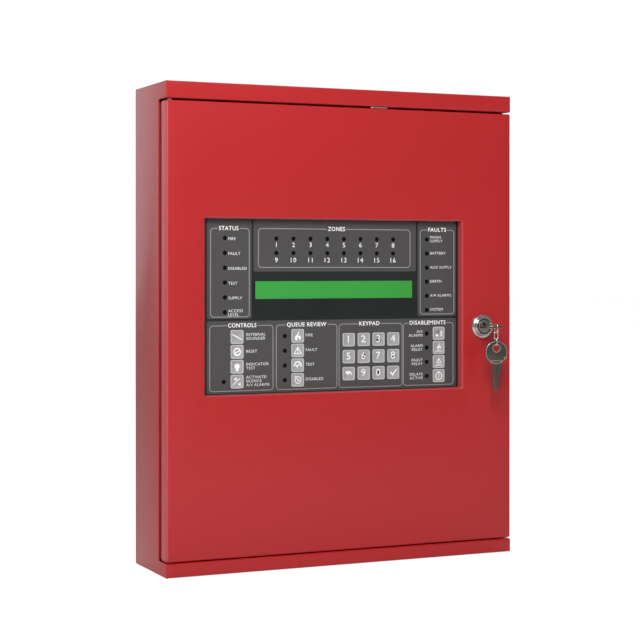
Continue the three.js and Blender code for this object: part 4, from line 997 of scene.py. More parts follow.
speaker = blob((-0.75, -0.22), (-0.42, -0.22), (0.02, -0.6), (0.02, 0.6), (-0.42, 0.22),
               (-0.75, 0.22))
FLAME = smooth_loop([(-0.1, -0.82), (-0.5, -0.72), (-0.62, -0.4), (-0.42, 0.02), (-0.08, 0.3),
                     (0.1, 0.66), (0.32, 0.95), (0.26, 0.52), (0.12, 0.2), (0.1, -0.02),
                     (0.3, -0.1), (0.42, 0.12), (0.6, -0.18), (0.62, -0.5), (0.34, -0.78),
                     (0.26, -0.5), (0.06, -0.34), (-0.1, -0.52)], 4)
BULB = smooth_loop([(0, 0.56), (0.36, 0.44), (0.52, 0.1), (0.4, -0.22), (0.24, -0.48),
                    (0.22, -0.78), (-0.22, -0.78), (-0.24, -0.48), (-0.4, -0.22), (-0.52, 0.1),
                    (-0.36, 0.44)], 4)
DOME = smooth_loop([(-0.7, -0.1), (-0.62, 0.4), (-0.2, 0.72), (0.2, 0.56), (0.1, 0.1),
                    (-0.1, -0.2), (-0.45, -0.3)], 4)


def turned_loop(loop, degrees, x=0.0, z=0.0, size=1.0):
    """A loop turned about the origin, scaled and moved."""
    a = math.radians(degrees)
    spin = np.array([(math.cos(a), math.sin(a)), (-math.sin(a), math.cos(a))])
    return np.asarray(loop) @ spin * size + (x, z)


def waves(x, z, radii, start, end, width=0.11):
    """Arcs of sound, one for each radius."""
    return [[arc_band(x, z, r, r + width, start, end, 8)] for r in radii]


def burst(rays=7, inner=0.5, outer=0.92):
    """Half a sunburst: corners that go in and out along an arc, closed by a thin arc."""
    t = np.radians(np.linspace(200, -20, 2 * rays + 1))
    radius = np.where(np.arange(2 * rays + 1) % 2, outer, inner + 0.16)
    top = np.stack([radius * np.cos(t), radius * np.sin(t)], 1)
    bottom = np.stack([inner * np.cos(t), inner * np.sin(t)], 1)[::-1]
    return np.concatenate([top, bottom])


def clock_hand(degrees, length, width=0.13):
    """A bar from the middle outwards."""
    a = math.radians(degrees)
    return bar((0, 0), (length * math.cos(a), length * math.sin(a)), width)


warning = [triangle_ring(1.0, 0.15), [bar((0, 0.42), (0, -0.12), 0.2)],
           [disc(0, -0.34, 0.12, 12)]]
small_warning = [[turned_loop(loop, 0, 0, 0.2, 0.72) for loop in loops] for loops in warning]
zigzag = [sheet_outline([(-0.78, -0.72), (-0.2, -0.72), (0, -0.5), (0.2, -0.72), (0.78, -0.72)],
                        0.13, 0.05)]
half_turn = blob((0.98, 0.08), (0.62, -0.34), (0.5, 0.08))
SYMBOLS = {
    "button_controls_1": [[bar((-0.98, 0.5), (0.92, -0.52), 0.17)]],
    "button_controls_2": [[arc_band(0, 0, 0.5, 0.78, 15, 165, 14)],
                          [arc_band(0, 0, 0.5, 0.78, 195, 345, 14)],
                          [half_turn], [turned_loop(half_turn, 180)],
                          [turned_loop(bar((-0.5, 0), (0.5, 0), 0.24), 28)]],
    "button_controls_3": [[BULB]],
    "button_controls_4": [[turned_loop(speaker, 0, -0.12, 0.48, 0.62)],
                          [turned_loop(speaker, 0, 0.66, -0.48, 0.62)],
                          [bar((-0.85, -0.62), (0.55, 0.62), 0.12)]],
    "button_queue_1": [[FLAME]],
    "button_queue_2": warning,
    "button_queue_3": [[burst()], [blob((-0.42, 0.02), (-0.28, 0.14), (-0.14, -0.1), (0.3, 0.34),
                                        (0.4, 0.22), (-0.14, -0.5))]],
    "button_queue_4": [[disc(0, 0, 0.72, 32) * (0.86, 1.0),
                        (disc(0, 0, 0.56, 32) * (0.86, 1.0))[::-1]],
                       [bar((-0.52, 0.78), (0.52, -0.72), 0.17)]],
    "button_disable_1": [[turned_loop(speaker, 0, -0.2, -0.35, 0.66)]]
    + waves(-0.1, -0.1, (0.5, 0.72), -38, 50, 0.13),
    "button_disable_2": [[turned_loop(FLAME, 0, 0.05, 0.24, 0.66)], zigzag],
    "button_disable_3": small_warning + [zigzag],
    "button_disable_4": [ring_shape(0, -0.04, 0.76, 0.6), [clock_hand(82, 0.46)],
                         [clock_hand(245, 0.42)], [bar((-0.2, 0.84), (0.2, 0.84), 0.14)]],
    "button_keypad_9": [[blob((-0.7, 0.1), (-0.56, 0.66), (-0.36, 0.42), (-0.1, 0.5), (0.22, 0.48),
                              (0.5, 0.24), (0.66, -0.2), (0.6, -0.3), (0.3, 0.02), (-0.02, 0.0),
                              (-0.08, 0.0), (0.02, -0.34))]],
    "button_keypad_12": [[blob((-0.74, 0.0), (-0.5, 0.2), (-0.22, -0.22), (0.6, 0.68),
                               (0.78, 0.6), (-0.2, -0.72))]],
}
CURSORS = {"button_keypad_3": (90, -0.1), "button_keypad_6": (180, -0.1),
           "button_keypad_8": (0, -0.1), "button_keypad_11": (270, 0.1)}
NUMBERS = {1: "1", 2: "2", 3: "3", 4: "4", 5: "5", 6: "6", 7: "7", 8: "8", 10: "9", 11: "0"}
SYMBOL_SIZE = 4.8
symbol_level = CAP_FACE + 0.16
RIM_ROWS = (1, 2, 3, 4)     # the rows of a cap's faces that make its pale rim

# %% Make the 24 keys, each on its own body
for name in BUTTONS:
    x, z = button_spots[name]
    cap = Piece(f"{name}_cap", name, "button_rubber")
    points, faces = capped(cap_rings(x, z))
    cap.add((points, faces), key_face)
    count = len(cap_rings(x, z)[0])
    cap.finishes.append(key_rim)
    for row in RIM_ROWS:
        cap.looks[row * count:(row + 1) * count] = [1] * count
    if name in CURSORS:
        heading, up = CURSORS[name]
        pointer = disc(x - 0.3, z + up, 3.5, 3, math.radians(heading))
        cap.add(slab([pointer], symbol_level - 0.03, symbol_level + 0.05), print_dark)
    if name == "button_disable_1":
        cap.add(slab([DOME * SYMBOL_SIZE * 0.9 + (x, z)], symbol_level - 0.03,
                     symbol_level + 0.05), key_shadow)
    for loops in SYMBOLS.get(name, []):
        placed = [np.asarray(loop) * SYMBOL_SIZE + (x, z) for loop in loops]
        cap.add(slab(placed, symbol_level - 0.06, symbol_level + 0.05), print_white)
    number = NUMBERS.get(int(name.split("_")[-1])) if "keypad" in name else None
    if number:
        write(cap, number, x - 0.5, z + 0.8, 6.7, "centre", weight=0.006, squeeze=1.05,
              level=symbol_level - 0.03)
    cap.make(replaces=[name], smooth=35)
print("keys made", len(BUTTONS))

# %% [markdown]
# ## The lock and its keys
# The cam lock shows a domed nickel trim with a stepped face round a darker plug. Every
# ring of it is turned on a lathe, so each piece is a profile carried round one axis. The
# keyway is a slot with a notch, and a slot in a turned face is made as an outline with a
# hole, given depth.

# %% The trim and the threaded barrel
lock_x, lock_y, lock_z = span("lock_body")
LOCK_X, LOCK_Z = middle(lock_x), middle(lock_z)
LOCK_FACE, BARREL_BACK = lock_y
lock_centre = (LOCK_X, 0, LOCK_Z)
TRIM, BARREL, BORE = 11.5, 9.0, 6.5


def threads(radius, start, end, pitch=1.25, depth=0.45):
    """A zigzag of rings along an axis: crest, root, crest, one turn apart."""
    count = int((end - start) / pitch)
    steps = start + (end - start) * np.arange(2 * count + 1) / (2 * count)
    return [(radius - (i % 2) * depth, float(y)) for i, y in enumerate(steps)]


trim_profile = [(BORE, BARREL_BACK), (BARREL - 0.8, BARREL_BACK)]
trim_profile += threads(BARREL, BARREL_BACK - 0.8, FRONT + 0.4)
trim_profile += [(TRIM, FRONT + 0.02), (TRIM, FRONT - 0.6), (11.35, FRONT - 1.2),
                 (11.0, FRONT - 1.8), (10.5, FRONT - 2.35), (9.9, FRONT - 2.8),
                 (9.4, FRONT - 3.05), (9.1, FRONT - 3.0), (9.0, FRONT - 3.3), (8.95, FRONT - 4.0),
                 (8.75, FRONT - 4.5), (8.35, FRONT - 4.85), (7.9, FRONT - 4.97),
                 (7.5, FRONT - 4.9), (7.15, FRONT - 4.6), (6.85, FRONT - 4.25),
                 (BORE, FRONT - 3.9)]
trim_points, trim_faces = loft(turned(trim_profile, lock_centre, segments=96)[0].reshape(
    len(trim_profile), 96, 3), closed=True)
trim = Piece("lock_trim", "door", "nickel")
trim.add((trim_points, trim_faces), nickel)
trim.make(replaces=["lock_body"], smooth=38)

# %% The plug: a disc with a keyway, and the rear that carries the cam
SLOT_HALF = 1.35


def keyway():
    """The mouth of the keyway, clockwise: a flat slot with a notch in its upper side."""
    return blob((LOCK_X - 4.0, LOCK_Z - SLOT_HALF), (LOCK_X - 4.0, LOCK_Z + SLOT_HALF),
                (LOCK_X - 1.1, LOCK_Z + SLOT_HALF), (LOCK_X - 1.1, LOCK_Z + 3.3),
                (LOCK_X + 1.1, LOCK_Z + 3.3), (LOCK_X + 1.1, LOCK_Z + SLOT_HALF),
                (LOCK_X + 4.9, LOCK_Z + SLOT_HALF), (LOCK_X + 4.9, LOCK_Z - SLOT_HALF))


plug_y = span("lock_plug")[1]
plug_face = LOCK_FACE + 0.35
shoulder = BARREL_BACK + 0.3
plug = Piece("plug_core", "plug", "nickel")
plug.add(slab([disc(LOCK_X, LOCK_Z, 6.15, 64), keyway()], plug_face, plug_face + 25, edge=0.25),
         plug_metal)
rear = [(0, plug_face + 24.9), (6.15, plug_face + 24.9), (6.15, shoulder), (7.5, shoulder),
        (7.5, shoulder + 0.9), (0, shoulder + 0.9)]
plug.add(turned(rear, lock_centre, segments=48), nickel)
plug.add(slab([rectangle(LOCK_X, LOCK_Z, 7, 7, 0.4)], shoulder + 0.8, plug_y[1] - 0.02, edge=0.3),
         nickel)
plug.make(replaces=["lock_plug"], smooth=35)

# %% The nut, the cam, its screw and the keeper
nut_y = span("lock_nut")[1]
nut = Piece("lock_nut_hex", "door", "zinc_steel")
nut.add(slab([disc(LOCK_X, LOCK_Z, 13.8, 6), disc(LOCK_X, LOCK_Z, 9.05, 40)[::-1]],
             nut_y[0] + 0.02, nut_y[1], edge=0.5), zinc)
nut.make(replaces=["lock_nut"])

_, cam_y, cam_z = span("lock_cam")
hub = np.linspace(math.radians(132), math.radians(408), 30)
cam_outline = np.concatenate([
    np.stack([LOCK_X + 7.4 * np.cos(hub), LOCK_Z + 7.4 * np.sin(hub)], 1),
    [(LOCK_X + 5, LOCK_Z + 9), (LOCK_X + 5, cam_z[1] - 2), (LOCK_X + 3.2, cam_z[1]),
     (LOCK_X - 3.2, cam_z[1]), (LOCK_X - 5, cam_z[1] - 2), (LOCK_X - 5, LOCK_Z + 9)]])
cam = Piece("cam_plate", "plug", "zinc_steel")
cam.add(slab([cam_outline, rectangle(LOCK_X, LOCK_Z, 7.4, 7.4, 0.3)[::-1]], cam_y[0], cam_y[1],
             edge=0.25), zinc)
cam.make(replaces=["lock_cam"])


def screw_head(piece, x, z, radius, height, base, up=-1):
    """A low domed head with a cross recess: the dome is a turned quarter, and the recess is
    painted shade, two near-black bars set into its top. The sign says which way the head rises
    along Y."""
    t = np.linspace(0, math.pi / 2, 6)
    dome = [(radius * math.cos(a), base + up * height * (0.45 + 0.55 * math.sin(a))) for a in t]
    piece.add(turned([(0, base), (radius, base)] + dome[:-1] + [(0, dome[-1][1])],
                     (x, 0, z), segments=24), zinc)
    # The cross recess is painted shade: near-black bars in place of a hollow.
    low, high = sorted((base + up * height * 0.93, base + up * height * 1.02))
    centre = np.array([x, z])
    for end in ((0.62, 0), (0, 0.62)):
        arm = np.array(end) * radius
        piece.add(slab([bar(centre - arm, centre + arm, radius * 0.26)], low, high), lamp_dark)


screw_y = span("cam_screw")[1]
screw = Piece("cam_screw_turned", "plug", "zinc_steel")
screw.add(turned([(0, screw_y[0]), (1.95, screw_y[0]), (1.95, screw_y[1] - 2.6),
                  (0, screw_y[1] - 2.6)], lock_centre, segments=20), zinc)
screw_head(screw, LOCK_X, LOCK_Z, 4.3, 2.6, screw_y[1] - 2.65, up=1)
screw.make(replaces=["cam_screw"])

catch_x, catch_y, catch_z = span("catch_bracket")
catch = Piece("catch_fold", "cabinet", "zinc_steel")
catch_line = [(catch_x[0], catch_y[0] + 0.75), (catch_x[1] - 0.75, catch_y[0] + 0.75),
              (catch_x[1] - 0.75, catch_y[1])]
catch.add(slab([sheet_outline(catch_line, 1.5, 1.4)], catch_z[0], catch_z[1], edge=0.25,
               plane="xy"), zinc)
catch.make(replaces=["catch_bracket"])

# %% [markdown]
# ### The keys
# A key is stamped from flat bar: a round bow with a hole, two stops, and a blade cut on
# one edge. The stamping leaves a raised border and a raised bar on the bow, and the
# edges are eased. One outline, drawn with the bow's centre at the origin and the blade
# pointing down, makes both keys. One lies in the lock and the other hangs.

# %% The key's outline and its raised parts
BOW, HOLE_UP, HOLE = 11.0, 3.9, 3.3
TIP = -36.0


def key_outline():
    """The bow's arc from one stop round to the other, and then the corners of the blade."""
    stop = math.asin(5.6 / BOW)
    t = np.linspace(-math.pi / 2 + stop, math.pi * 1.5 - stop, 49)
    bow = np.stack([BOW * np.cos(t), BOW * np.sin(t)], 1)
    cuts = [(-5.3, TIP + 27.0), (-5.2, TIP + 26.5), (-3.7, TIP + 25.2), (-3.7, TIP + 6),
            (-2.9, TIP + 2.7), (-0.8, TIP), (0.2, TIP + 0.3), (1.6, TIP + 2.7), (1.6, TIP + 5.4),
            (2.9, TIP + 8.4), (2.9, TIP + 10.8), (1.3, TIP + 12.9), (1.3, TIP + 13.6),
            (3.3, TIP + 15.8), (3.3, TIP + 16.8), (4.6, TIP + 18.2), (4.6, TIP + 25.2),
            (6.1, TIP + 26.5), (6.2, TIP + 27.0)]
    return np.concatenate([bow, cuts[1:-1]])


def key_shapes():
    """The key's flat body with raised borders in a brighter metal: rows of loops, low, high, edge
    and finish through its thickness, which is centred on zero."""
    hole = disc(0, HOLE_UP, HOLE, 36)[::-1]
    rows = [([key_outline(), hole], -0.86, 0.86, 0.42, key_steel)]
    border = [disc(0, 0, BOW - 0.3, 56), disc(0, 0, BOW - 0.95, 56)[::-1]]
    eye = [disc(0, HOLE_UP, HOLE + 0.75, 36), disc(0, HOLE_UP, HOLE + 0.05, 36)[::-1]]
    stop_bar = [blob((-6.6, -8.9), (-5.9, -9.1), (-4.3, -8.1), (5.0, -7.9), (5.0, -7.2),
                     (-4.6, -7.4))]
    for low, high in ((-1.0, -0.8), (0.8, 1.0)):
        rows += [(loops, low, high, 0.1, key_worn) for loops in (border, eye, stop_bar)]
    rows.append(([rectangle(-0.2, TIP + 16, 1.0, 15, 0.45)], -0.9, 0.9, 0.12, key_steel))
    return rows


def place_key(piece, turn):
    """Adds every row of the key, with a function that puts its (x, thickness, z) points
    in place."""
    for loops, low, high, edge, look in key_shapes():
        points, faces = slab(loops, low, high, edge=edge)
        piece.add((turn(points), faces), look)


# %% The key in the lock
_, key_y, key_z = span("key")
key_centre = (LOCK_X, key_y[0] + BOW, middle(key_z))


def into_lock(points):
    """Lays the key flat: its blade's down becomes the way into the lock, along +Y, and its
    thickness becomes height."""
    return np.stack([key_centre[0] + points[:, 0], key_centre[1] - points[:, 2],
                     key_centre[2] + points[:, 1]], 1)


lock_key = Piece("lock_key", "key", "key_metal")
place_key(lock_key, into_lock)
lock_key.make(replaces=["key"], smooth=30)

# %% The spare key, turned a little about the upright axis
SPARE_TURN = math.radians(-9.0)
RIM_Y = key_y[0] + (BOW - HOLE_UP - HOLE) / 2
spare_top = span("spare_key")[2][1]


def about_hanger(points):
    """Turns points about the upright line through the bow's rim."""
    x, y, z = points.T
    c, s = math.cos(SPARE_TURN), math.sin(SPARE_TURN)
    return np.stack([LOCK_X + x * c - y * s, RIM_Y + x * s + y * c, z], 1)


def hang(points):
    """Hangs the key below the chain, with its blade down."""
    return about_hanger(points + (0, 0, spare_top - BOW))


spare = Piece("hanging_key", "spare_key", "key_metal")
place_key(spare, hang)
spare.make(replaces=["spare_key"], smooth=30)


# %% The three links of the chain
def link_path(width, length, segments=12):
    """An oval: two half circles of radius w / 2 joined by straight sides, along Z."""
    radius, straight = width / 2, (length - width) / 2
    t = np.linspace(0, math.pi, segments)
    top = np.stack([radius * np.cos(t), straight + radius * np.sin(t)], 1)
    bottom = -top
    side = np.linspace(0, 1, 5)[1:-1, None]
    left = top[-1] + (bottom[0] - top[-1]) * side
    right = bottom[-1] + (top[0] - bottom[-1]) * side
    return np.concatenate([top, left, bottom, right])


WIRE = 0.55
for name in ("chain_link_1", "chain_link_2", "chain_link_3"):
    link_x, link_y, link_z = span(name)
    crosswise = name != "chain_link_2"
    wide = (link_y if crosswise else link_x)
    turned_link = name == "chain_link_3"
    outer = 3.5 + 2 * 2 * WIRE if turned_link else wide[1] - wide[0]
    flat = link_path(outer - 2 * WIRE, link_z[1] - link_z[0] - 2 * WIRE)
    path = np.zeros((len(flat), 3))
    path[:, 1 if crosswise else 0], path[:, 2] = flat.T
    normal = np.array((1.0, 0, 0) if crosswise else (0, 1.0, 0))
    points, faces = wire(path, normal, WIRE)
    points[:, 2] += middle(link_z)
    if turned_link:
        points = about_hanger(points)
    else:
        points[:, :2] += (LOCK_X, RIM_Y)
    link = Piece(f"{name}_wire", name.replace("link_", ""), "nickel")
    link.add((points, faces), chrome)
    link.make(replaces=[name], smooth=60)
print("lock centre", round(LOCK_X, 1), round(LOCK_Z, 1), "face", round(LOCK_FACE, 1))

# %% [markdown]
# ## Inside the box
# With the door open the panel shows its works: a zinc-plated chassis with the main board,
# two rows of field terminals, a caged power supply, a transformer and two batteries, and
# behind the fascia the display board. Solids that already have the right shape keep it
# and get a finish; the rest are rebuilt with their small parts.

# %% Finishes for the inside
board_green = finish("board_green", (0.012, 0.095, 0.035), 0.38, grain=1300, bump=0.12, tone=0.22,
                     drift=150, coat=0.35)
terminal_green = finish("terminal_green", (0.03, 0.19, 0.06), 0.45, grain=1500, tone=0.04)
black_plastic = finish("black_plastic", (0.014, 0.014, 0.015), 0.5, grain=1900, bump=0.06)
battery_plastic = finish("battery_plastic", (0.028, 0.03, 0.034), 0.56, grain=1300, bump=0.1)
battery_band = finish("battery_band", (0.34, 0.35, 0.36), 0.5, grain=1900)
cage_steel = finish("cage_steel", (0.55, 0.56, 0.57), 0.3, metallic=1.0, grain=600, bump=0.05,
                    tone=0.1, drift=30, stretch=(0.15, 1, 1))
core_iron = finish("core_iron", (0.16, 0.16, 0.17), 0.5, metallic=0.6, grain=900, bump=0.3,
                   stretch=(0.05, 1.2, 0.05))
copper = finish("copper_wire", (0.50, 0.17, 0.07), 0.35, metallic=0.8, grain=700, bump=0.3,
                tone=0.12, stretch=(0.1, 0.1, 1.4))
tape_yellow = finish("tape_yellow", (0.62, 0.42, 0.06), 0.5, grain=1300)
relay_blue = finish("relay_blue", (0.02, 0.06, 0.22), 0.4, grain=1500)
can_silver = finish("can_silver", (0.7, 0.71, 0.72), 0.28, metallic=1.0, grain=1000, tone=0.08)
cable_red = finish("cable_red", (0.4, 0.01, 0.012), 0.42, grain=1500)
cable_black = finish("cable_black", (0.012, 0.012, 0.012), 0.42, grain=1500)
tin = finish("tin_solder", (0.62, 0.63, 0.64), 0.3, metallic=1.0, grain=1500, bump=0.12)


def dress(node, look):
    """Gives a carried-over part its finish, in every material slot it has."""
    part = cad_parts[node]
    if not part.data.materials:
        part.data.materials.append(look)
    for slot in part.material_slots:
        slot.material = look


CARRIED = {"fascia_plate": zinc, "lcd_module": black_plastic, "display_board": board_green,
           "chassis_plate": zinc, "main_board": board_green, "battery_stop": zinc}
for node, look in CARRIED.items():
    dress(node, look)
print("carried over", len(CARRIED))


# %% A box with eased edges, and rows of small parts
def crate(piece, xs, ys, zs, look, edge=0.4, corner=0.3):
    """A block between three spans, its outline in X and Z, its thickness along Y."""
    piece.add(slab([span_rectangle(xs, zs, corner, 2)], ys[0], ys[1], edge=edge, steps=2), look)


def centred(value, size):
    """The span of a size centred on a value."""
    return (value - size / 2, value + size / 2)


# %% Field terminals: a stepped body, a screw and an entry for each wire
def terminal_row(name, pitch=5.08):
    """A row of terminals, one every pitch: the low rear step holds the entries and the
    high front step the screws."""
    xs, ys, zs = span(name)
    row = Piece(f"{name}_row", "cabinet", "green_terminal")
    count = int((xs[1] - xs[0]) / pitch)
    step = (xs[1] - xs[0]) / count
    tall = zs[0] + (zs[1] - zs[0]) * 0.6
    low_face = ys[1] - (ys[1] - ys[0]) * 0.6
    line = [(ys[1], zs[0]), (ys[1], zs[1]), (low_face, zs[1]), (low_face, tall), (ys[0], tall),
            (ys[0], zs[0])]
    row.add(slab([np.array(line)], xs[0], xs[1], edge=0.15, plane="yz", steps=2),
            terminal_green)
    for i in range(count):
        x = xs[0] + (i + 0.5) * step
        crate(row, centred(x, 3.2), (ys[0] - 0.02, ys[0] + 0.3), centred(zs[0] + 4.2, 5.6),
              black_plastic, edge=0.05)
        row.add(turned([(0, ys[0] - 0.25), (1.25, ys[0] - 0.25), (1.35, ys[0] - 0.1),
                        (1.35, ys[0] + 0.2), (0, ys[0] + 0.2)], (x, 0, zs[0] + 4.2),
                       segments=14), tin)
        # A near-black bar on the screw head stands in for its slot: painted shade.
        row.add(slab([bar((x - 0.9, zs[0] + 3.5), (x + 0.9, zs[0] + 4.9), 0.35)], ys[0] - 0.27,
                     ys[0] - 0.2), lamp_dark)
        crate(row, centred(x, 2.8), (low_face - 0.02, low_face + 0.3), (tall + 0.9, zs[1] - 0.9),
              black_plastic, edge=0.05)
    row.make(replaces=[name])
    return count


print("terminals", sum(terminal_row(name) for name in ("terminal_strip_1", "terminal_strip_2")))


# %% Parts on the main board
_, board_y, board_z = span("main_board")
board_face = board_y[0]
works = Piece("main_board_parts", "cabinet", "black_plastic")


def chip(piece, x, z, width, height, face, rise=2.2, legs=8, out=-1):
    """A flat package with a row of tin legs along its upper and lower sides."""
    levels = sorted((face, face + out * rise))
    crate(piece, centred(x, width), levels, centred(z, height), black_plastic, edge=0.2)
    for leg in np.linspace(x - width / 2 + 1, x + width / 2 - 1, legs):
        for side in (-1, 1):
            near, far = z + side * height / 2, z + side * (height / 2 + 1.2)
            crate(piece, centred(leg, 0.55), sorted((face, face + out * 0.8)),
                  sorted((near, far)), tin, edge=0.0, corner=0)


def can(piece, x, z, radius, height, face, out=-1):
    """An upright can capacitor: a sleeve with a rolled rim and a silver top."""
    top = face + out * height
    piece.add(turned([(0, face), (radius, face), (radius, top - out * 0.8),
                      (radius - 0.4, top - out * 0.15), (radius * 0.8, top),
                      (radius * 0.78, top - out * 0.25), (0, top - out * 0.25)], (x, 0, z),
                     segments=28), cable_black)
    piece.add(turned([(0, top - out * 0.3), (radius * 0.77, top - out * 0.3),
                      (radius * 0.77, top - out * 0.18), (0, top - out * 0.18)], (x, 0, z),
                     segments=24), can_silver)


chip(works, -20, 112, 24, 24, board_face, legs=14)
chip(works, 22, 116, 18, 8, board_face, legs=10)
chip(works, 22, 98, 18, 8, board_face, legs=10)
chip(works, -58, 118, 16, 7, board_face)
chip(works, -58, 102, 16, 7, board_face)
chip(works, 52, 120, 12, 6, board_face, legs=6)
for x in (-124, -104, -84, 84, 104, 124):
    crate(works, centred(x, 15), (board_face - 15, board_face), centred(142, 19), relay_blue,
          edge=0.5)
for x, z, radius, tall in ((-118, 84, 6.3, 14), (-100, 84, 5, 12), (70, 84, 5, 12),
                           (100, 84, 6.3, 15), (118, 84, 6.3, 15), (48, 80, 4, 8)):
    can(works, x, z, radius, tall, board_face)
crate(works, centred(0, 36), (board_face - 8.5, board_face), centred(75, 8), black_plastic,
      edge=0.3)
for x in np.linspace(-60, 60, 25):
    crate(works, centred(x, 2.0), (board_face - 0.7, board_face), centred(132, 1.2), tin, edge=0.1)
    crate(works, centred(x, 1.2), (board_face - 0.6, board_face), centred(154, 2.0), black_plastic,
          edge=0.1)
for x in (-130, -110, -90, -70.1, 70.1, 90, 110, 130):
    crate(works, centred(x, 3.2), (board_face - 5.5, board_face), centred(100, 7), tape_yellow,
          edge=0.4)
for side in (-1, 0, 1):
    for z in (board_z[0] + 8, board_z[1] - 8 if side else board_z[0] + 8):
        screw_head(works, side * 132, z, 3.0, 1.6, board_face)
works.make()
print("main board parts", len(works.faces))

# %% The power supply: a folded cage with rows of slots
supply_x, supply_y, supply_z = span("power_supply")
BAY = 34.0     # the open bay for the terminals, at the right end
bay_x = supply_x[1] - BAY
cage = Piece("supply_cage", "cabinet", "supply_cage")
cage_slots = [rectangle(x, z, 3.0, 13.0, 1.4)[::-1]
              for x in np.arange(supply_x[0] + 16, supply_x[1] - 60, 6.4)
              for z in (middle(supply_z) - 26, middle(supply_z), middle(supply_z) + 26)]
cage.add(slab([span_rectangle((supply_x[0], bay_x), supply_z, 1.0), *cage_slots],
              supply_y[0], supply_y[0] + 1.0, edge=0.3, steps=1), cage_steel)
dark_z = (supply_z[0] + 1.5, supply_z[1] - 1.5)
cage.add(slab([span_rectangle((supply_x[0] + 1.5, bay_x - 1), dark_z, 0.5)],
              supply_y[0] + 3, supply_y[0] + 4), black_plastic)
for zs in ((supply_z[0], supply_z[0] + 1), (supply_z[1] - 1, supply_z[1])):
    crate(cage, (supply_x[0], supply_x[1]), (supply_y[0] + 0.4, supply_y[1]), zs, cage_steel, 0.1)
crate(cage, (supply_x[0], supply_x[0] + 1), (supply_y[0] + 0.4, supply_y[1]), supply_z, cage_steel,
      0.1)
crate(cage, supply_x, (supply_y[1] - 1.2, supply_y[1]), supply_z, cage_steel, 0.1)
crate(cage, (bay_x - 1, bay_x), (supply_y[0] + 0.4, supply_y[1]), supply_z,
      cage_steel, 0.1)
crate(cage, (supply_x[1] - 33, supply_x[1] - 3), (supply_y[1] - 5, supply_y[1] - 3),
      (supply_z[0] + 3, supply_z[1] - 3), board_green, 0.1)
crate(cage, (supply_x[1] - 26, supply_x[1] - 8), (supply_y[1] - 18, supply_y[1] - 5),
      (supply_z[0] + 12, supply_z[1] - 12), black_plastic, 0.4)
for z in np.arange(supply_z[0] + 18, supply_z[1] - 14, 8.6):
    screw_head(cage, supply_x[1] - 17, z, 3.0, 1.6, supply_y[1] - 18)
    crate(cage, (supply_x[1] - 26, supply_x[1] - 8), (supply_y[1] - 22, supply_y[1] - 17.5),
          centred(z + 4.3, 1.0), black_plastic, 0.1)
cage.make(replaces=["power_supply"], smooth=18)

# %% The transformer: a laminated core in a bracket, with a wound coil through it
tr_x, tr_y, tr_z = span("transformer")
tr_mid_x, tr_mid_z = middle(tr_x), middle(tr_z)
LAMINATION, CORE_DEPTH, CORE_HEIGHT = 1.5, 36, 62
COIL_WIDTH, coil_y = 48, (tr_y[0], tr_y[1] - 4)
iron = Piece("transformer_wound", "cabinet", "transformer_iron")
plates = np.arange(tr_y[1] - CORE_DEPTH, tr_y[1] - LAMINATION, LAMINATION)
for i, face in enumerate(plates):
    inset_plate = 0.25 * (i % 2)
    crate(iron, (tr_x[0] + inset_plate, tr_x[1] - inset_plate), (face, face + LAMINATION),
          centred(tr_mid_z, CORE_HEIGHT - 2 * inset_plate), core_iron, edge=0.0, corner=0.6)
crate(iron, tr_x, (tr_y[1] - LAMINATION, tr_y[1]), centred(tr_mid_z, CORE_HEIGHT - 1), zinc, 0.3)
coil_rings = []
for i, z in enumerate(np.linspace(tr_z[0] + 1.2, tr_z[1] - 1.2, 67)):
    swell = 0.35 * (i % 2)
    ring = rectangle(tr_mid_x, middle(coil_y), COIL_WIDTH - 2 * swell,
                     coil_y[1] - coil_y[0] - 2 * swell, 5.0, steps=4)
    coil_rings.append(np.insert(ring, 2, z, axis=1))
iron.add(capped(coil_rings), copper)
for zs in ((tr_z[0], tr_z[0] + 1.6), (tr_z[1] - 1.6, tr_z[1])):
    crate(iron, centred(tr_mid_x, COIL_WIDTH), coil_y, zs, black_plastic, 0.3)
tape_z = centred(tr_mid_z, 56)
crate(iron, centred(tr_mid_x, COIL_WIDTH - 0.6), (tr_y[0], tr_y[0] + 4), tape_z, tape_yellow, 0.5)
iron.make(replaces=["transformer"])

# %% Mains terminal, fuse holder and earth stud
mains_x, mains_y, mains_z = span("mains_terminal")
mains = Piece("mains_block", "cabinet", "black_plastic")
crate(mains, mains_x, (mains_y[0] + 4, mains_y[1]), mains_z, black_plastic, 0.5)
for x in np.linspace(mains_x[0] + 8, mains_x[1] - 8, 3):
    for z in (middle(mains_z) - 5.5, middle(mains_z) + 5.5):
        screw_head(mains, x, z, 3.1, 1.8, mains_y[0] + 4.2)
for x in np.linspace(mains_x[0] + 0.8, mains_x[1] - 0.8, 4):
    crate(mains, centred(x, 1.6), (mains_y[0], mains_y[0] + 4.3), mains_z, black_plastic, 0.2)
mains.make(replaces=["mains_terminal"])

fuse_x, fuse_y, fuse_z = span("fuse_holder")
fuse = Piece("fuse_clip", "cabinet", "black_plastic")
crate(fuse, fuse_x, (fuse_y[1] - 4, fuse_y[1]), fuse_z, black_plastic, 0.5)
fuse_mid = (0, fuse_y[0] + 6.5, middle(fuse_z))
glass = [(0, fuse_x[0] + 9), (4.0, fuse_x[0] + 9), (4.0, fuse_x[1] - 9), (0, fuse_x[1] - 9)]
fuse.add(turned(glass, fuse_mid, axis="x", segments=28), key_rim)
for start, end in ((fuse_x[0] + 3.1, fuse_x[0] + 10), (fuse_x[1] - 10, fuse_x[1] - 3.1)):
    cap_end = [(0, start), (5.6, start), (6.3, start + 0.6), (6.3, end - 0.6), (5.8, end),
               (0, end)]
    fuse.add(turned(cap_end, fuse_mid, axis="x", segments=28), tin)
    crate(fuse, (start + 1.5, start + 5), (fuse_y[0] + 10, fuse_y[1] - 3.5),
          centred(middle(fuse_z), 5), tin, 0.2)
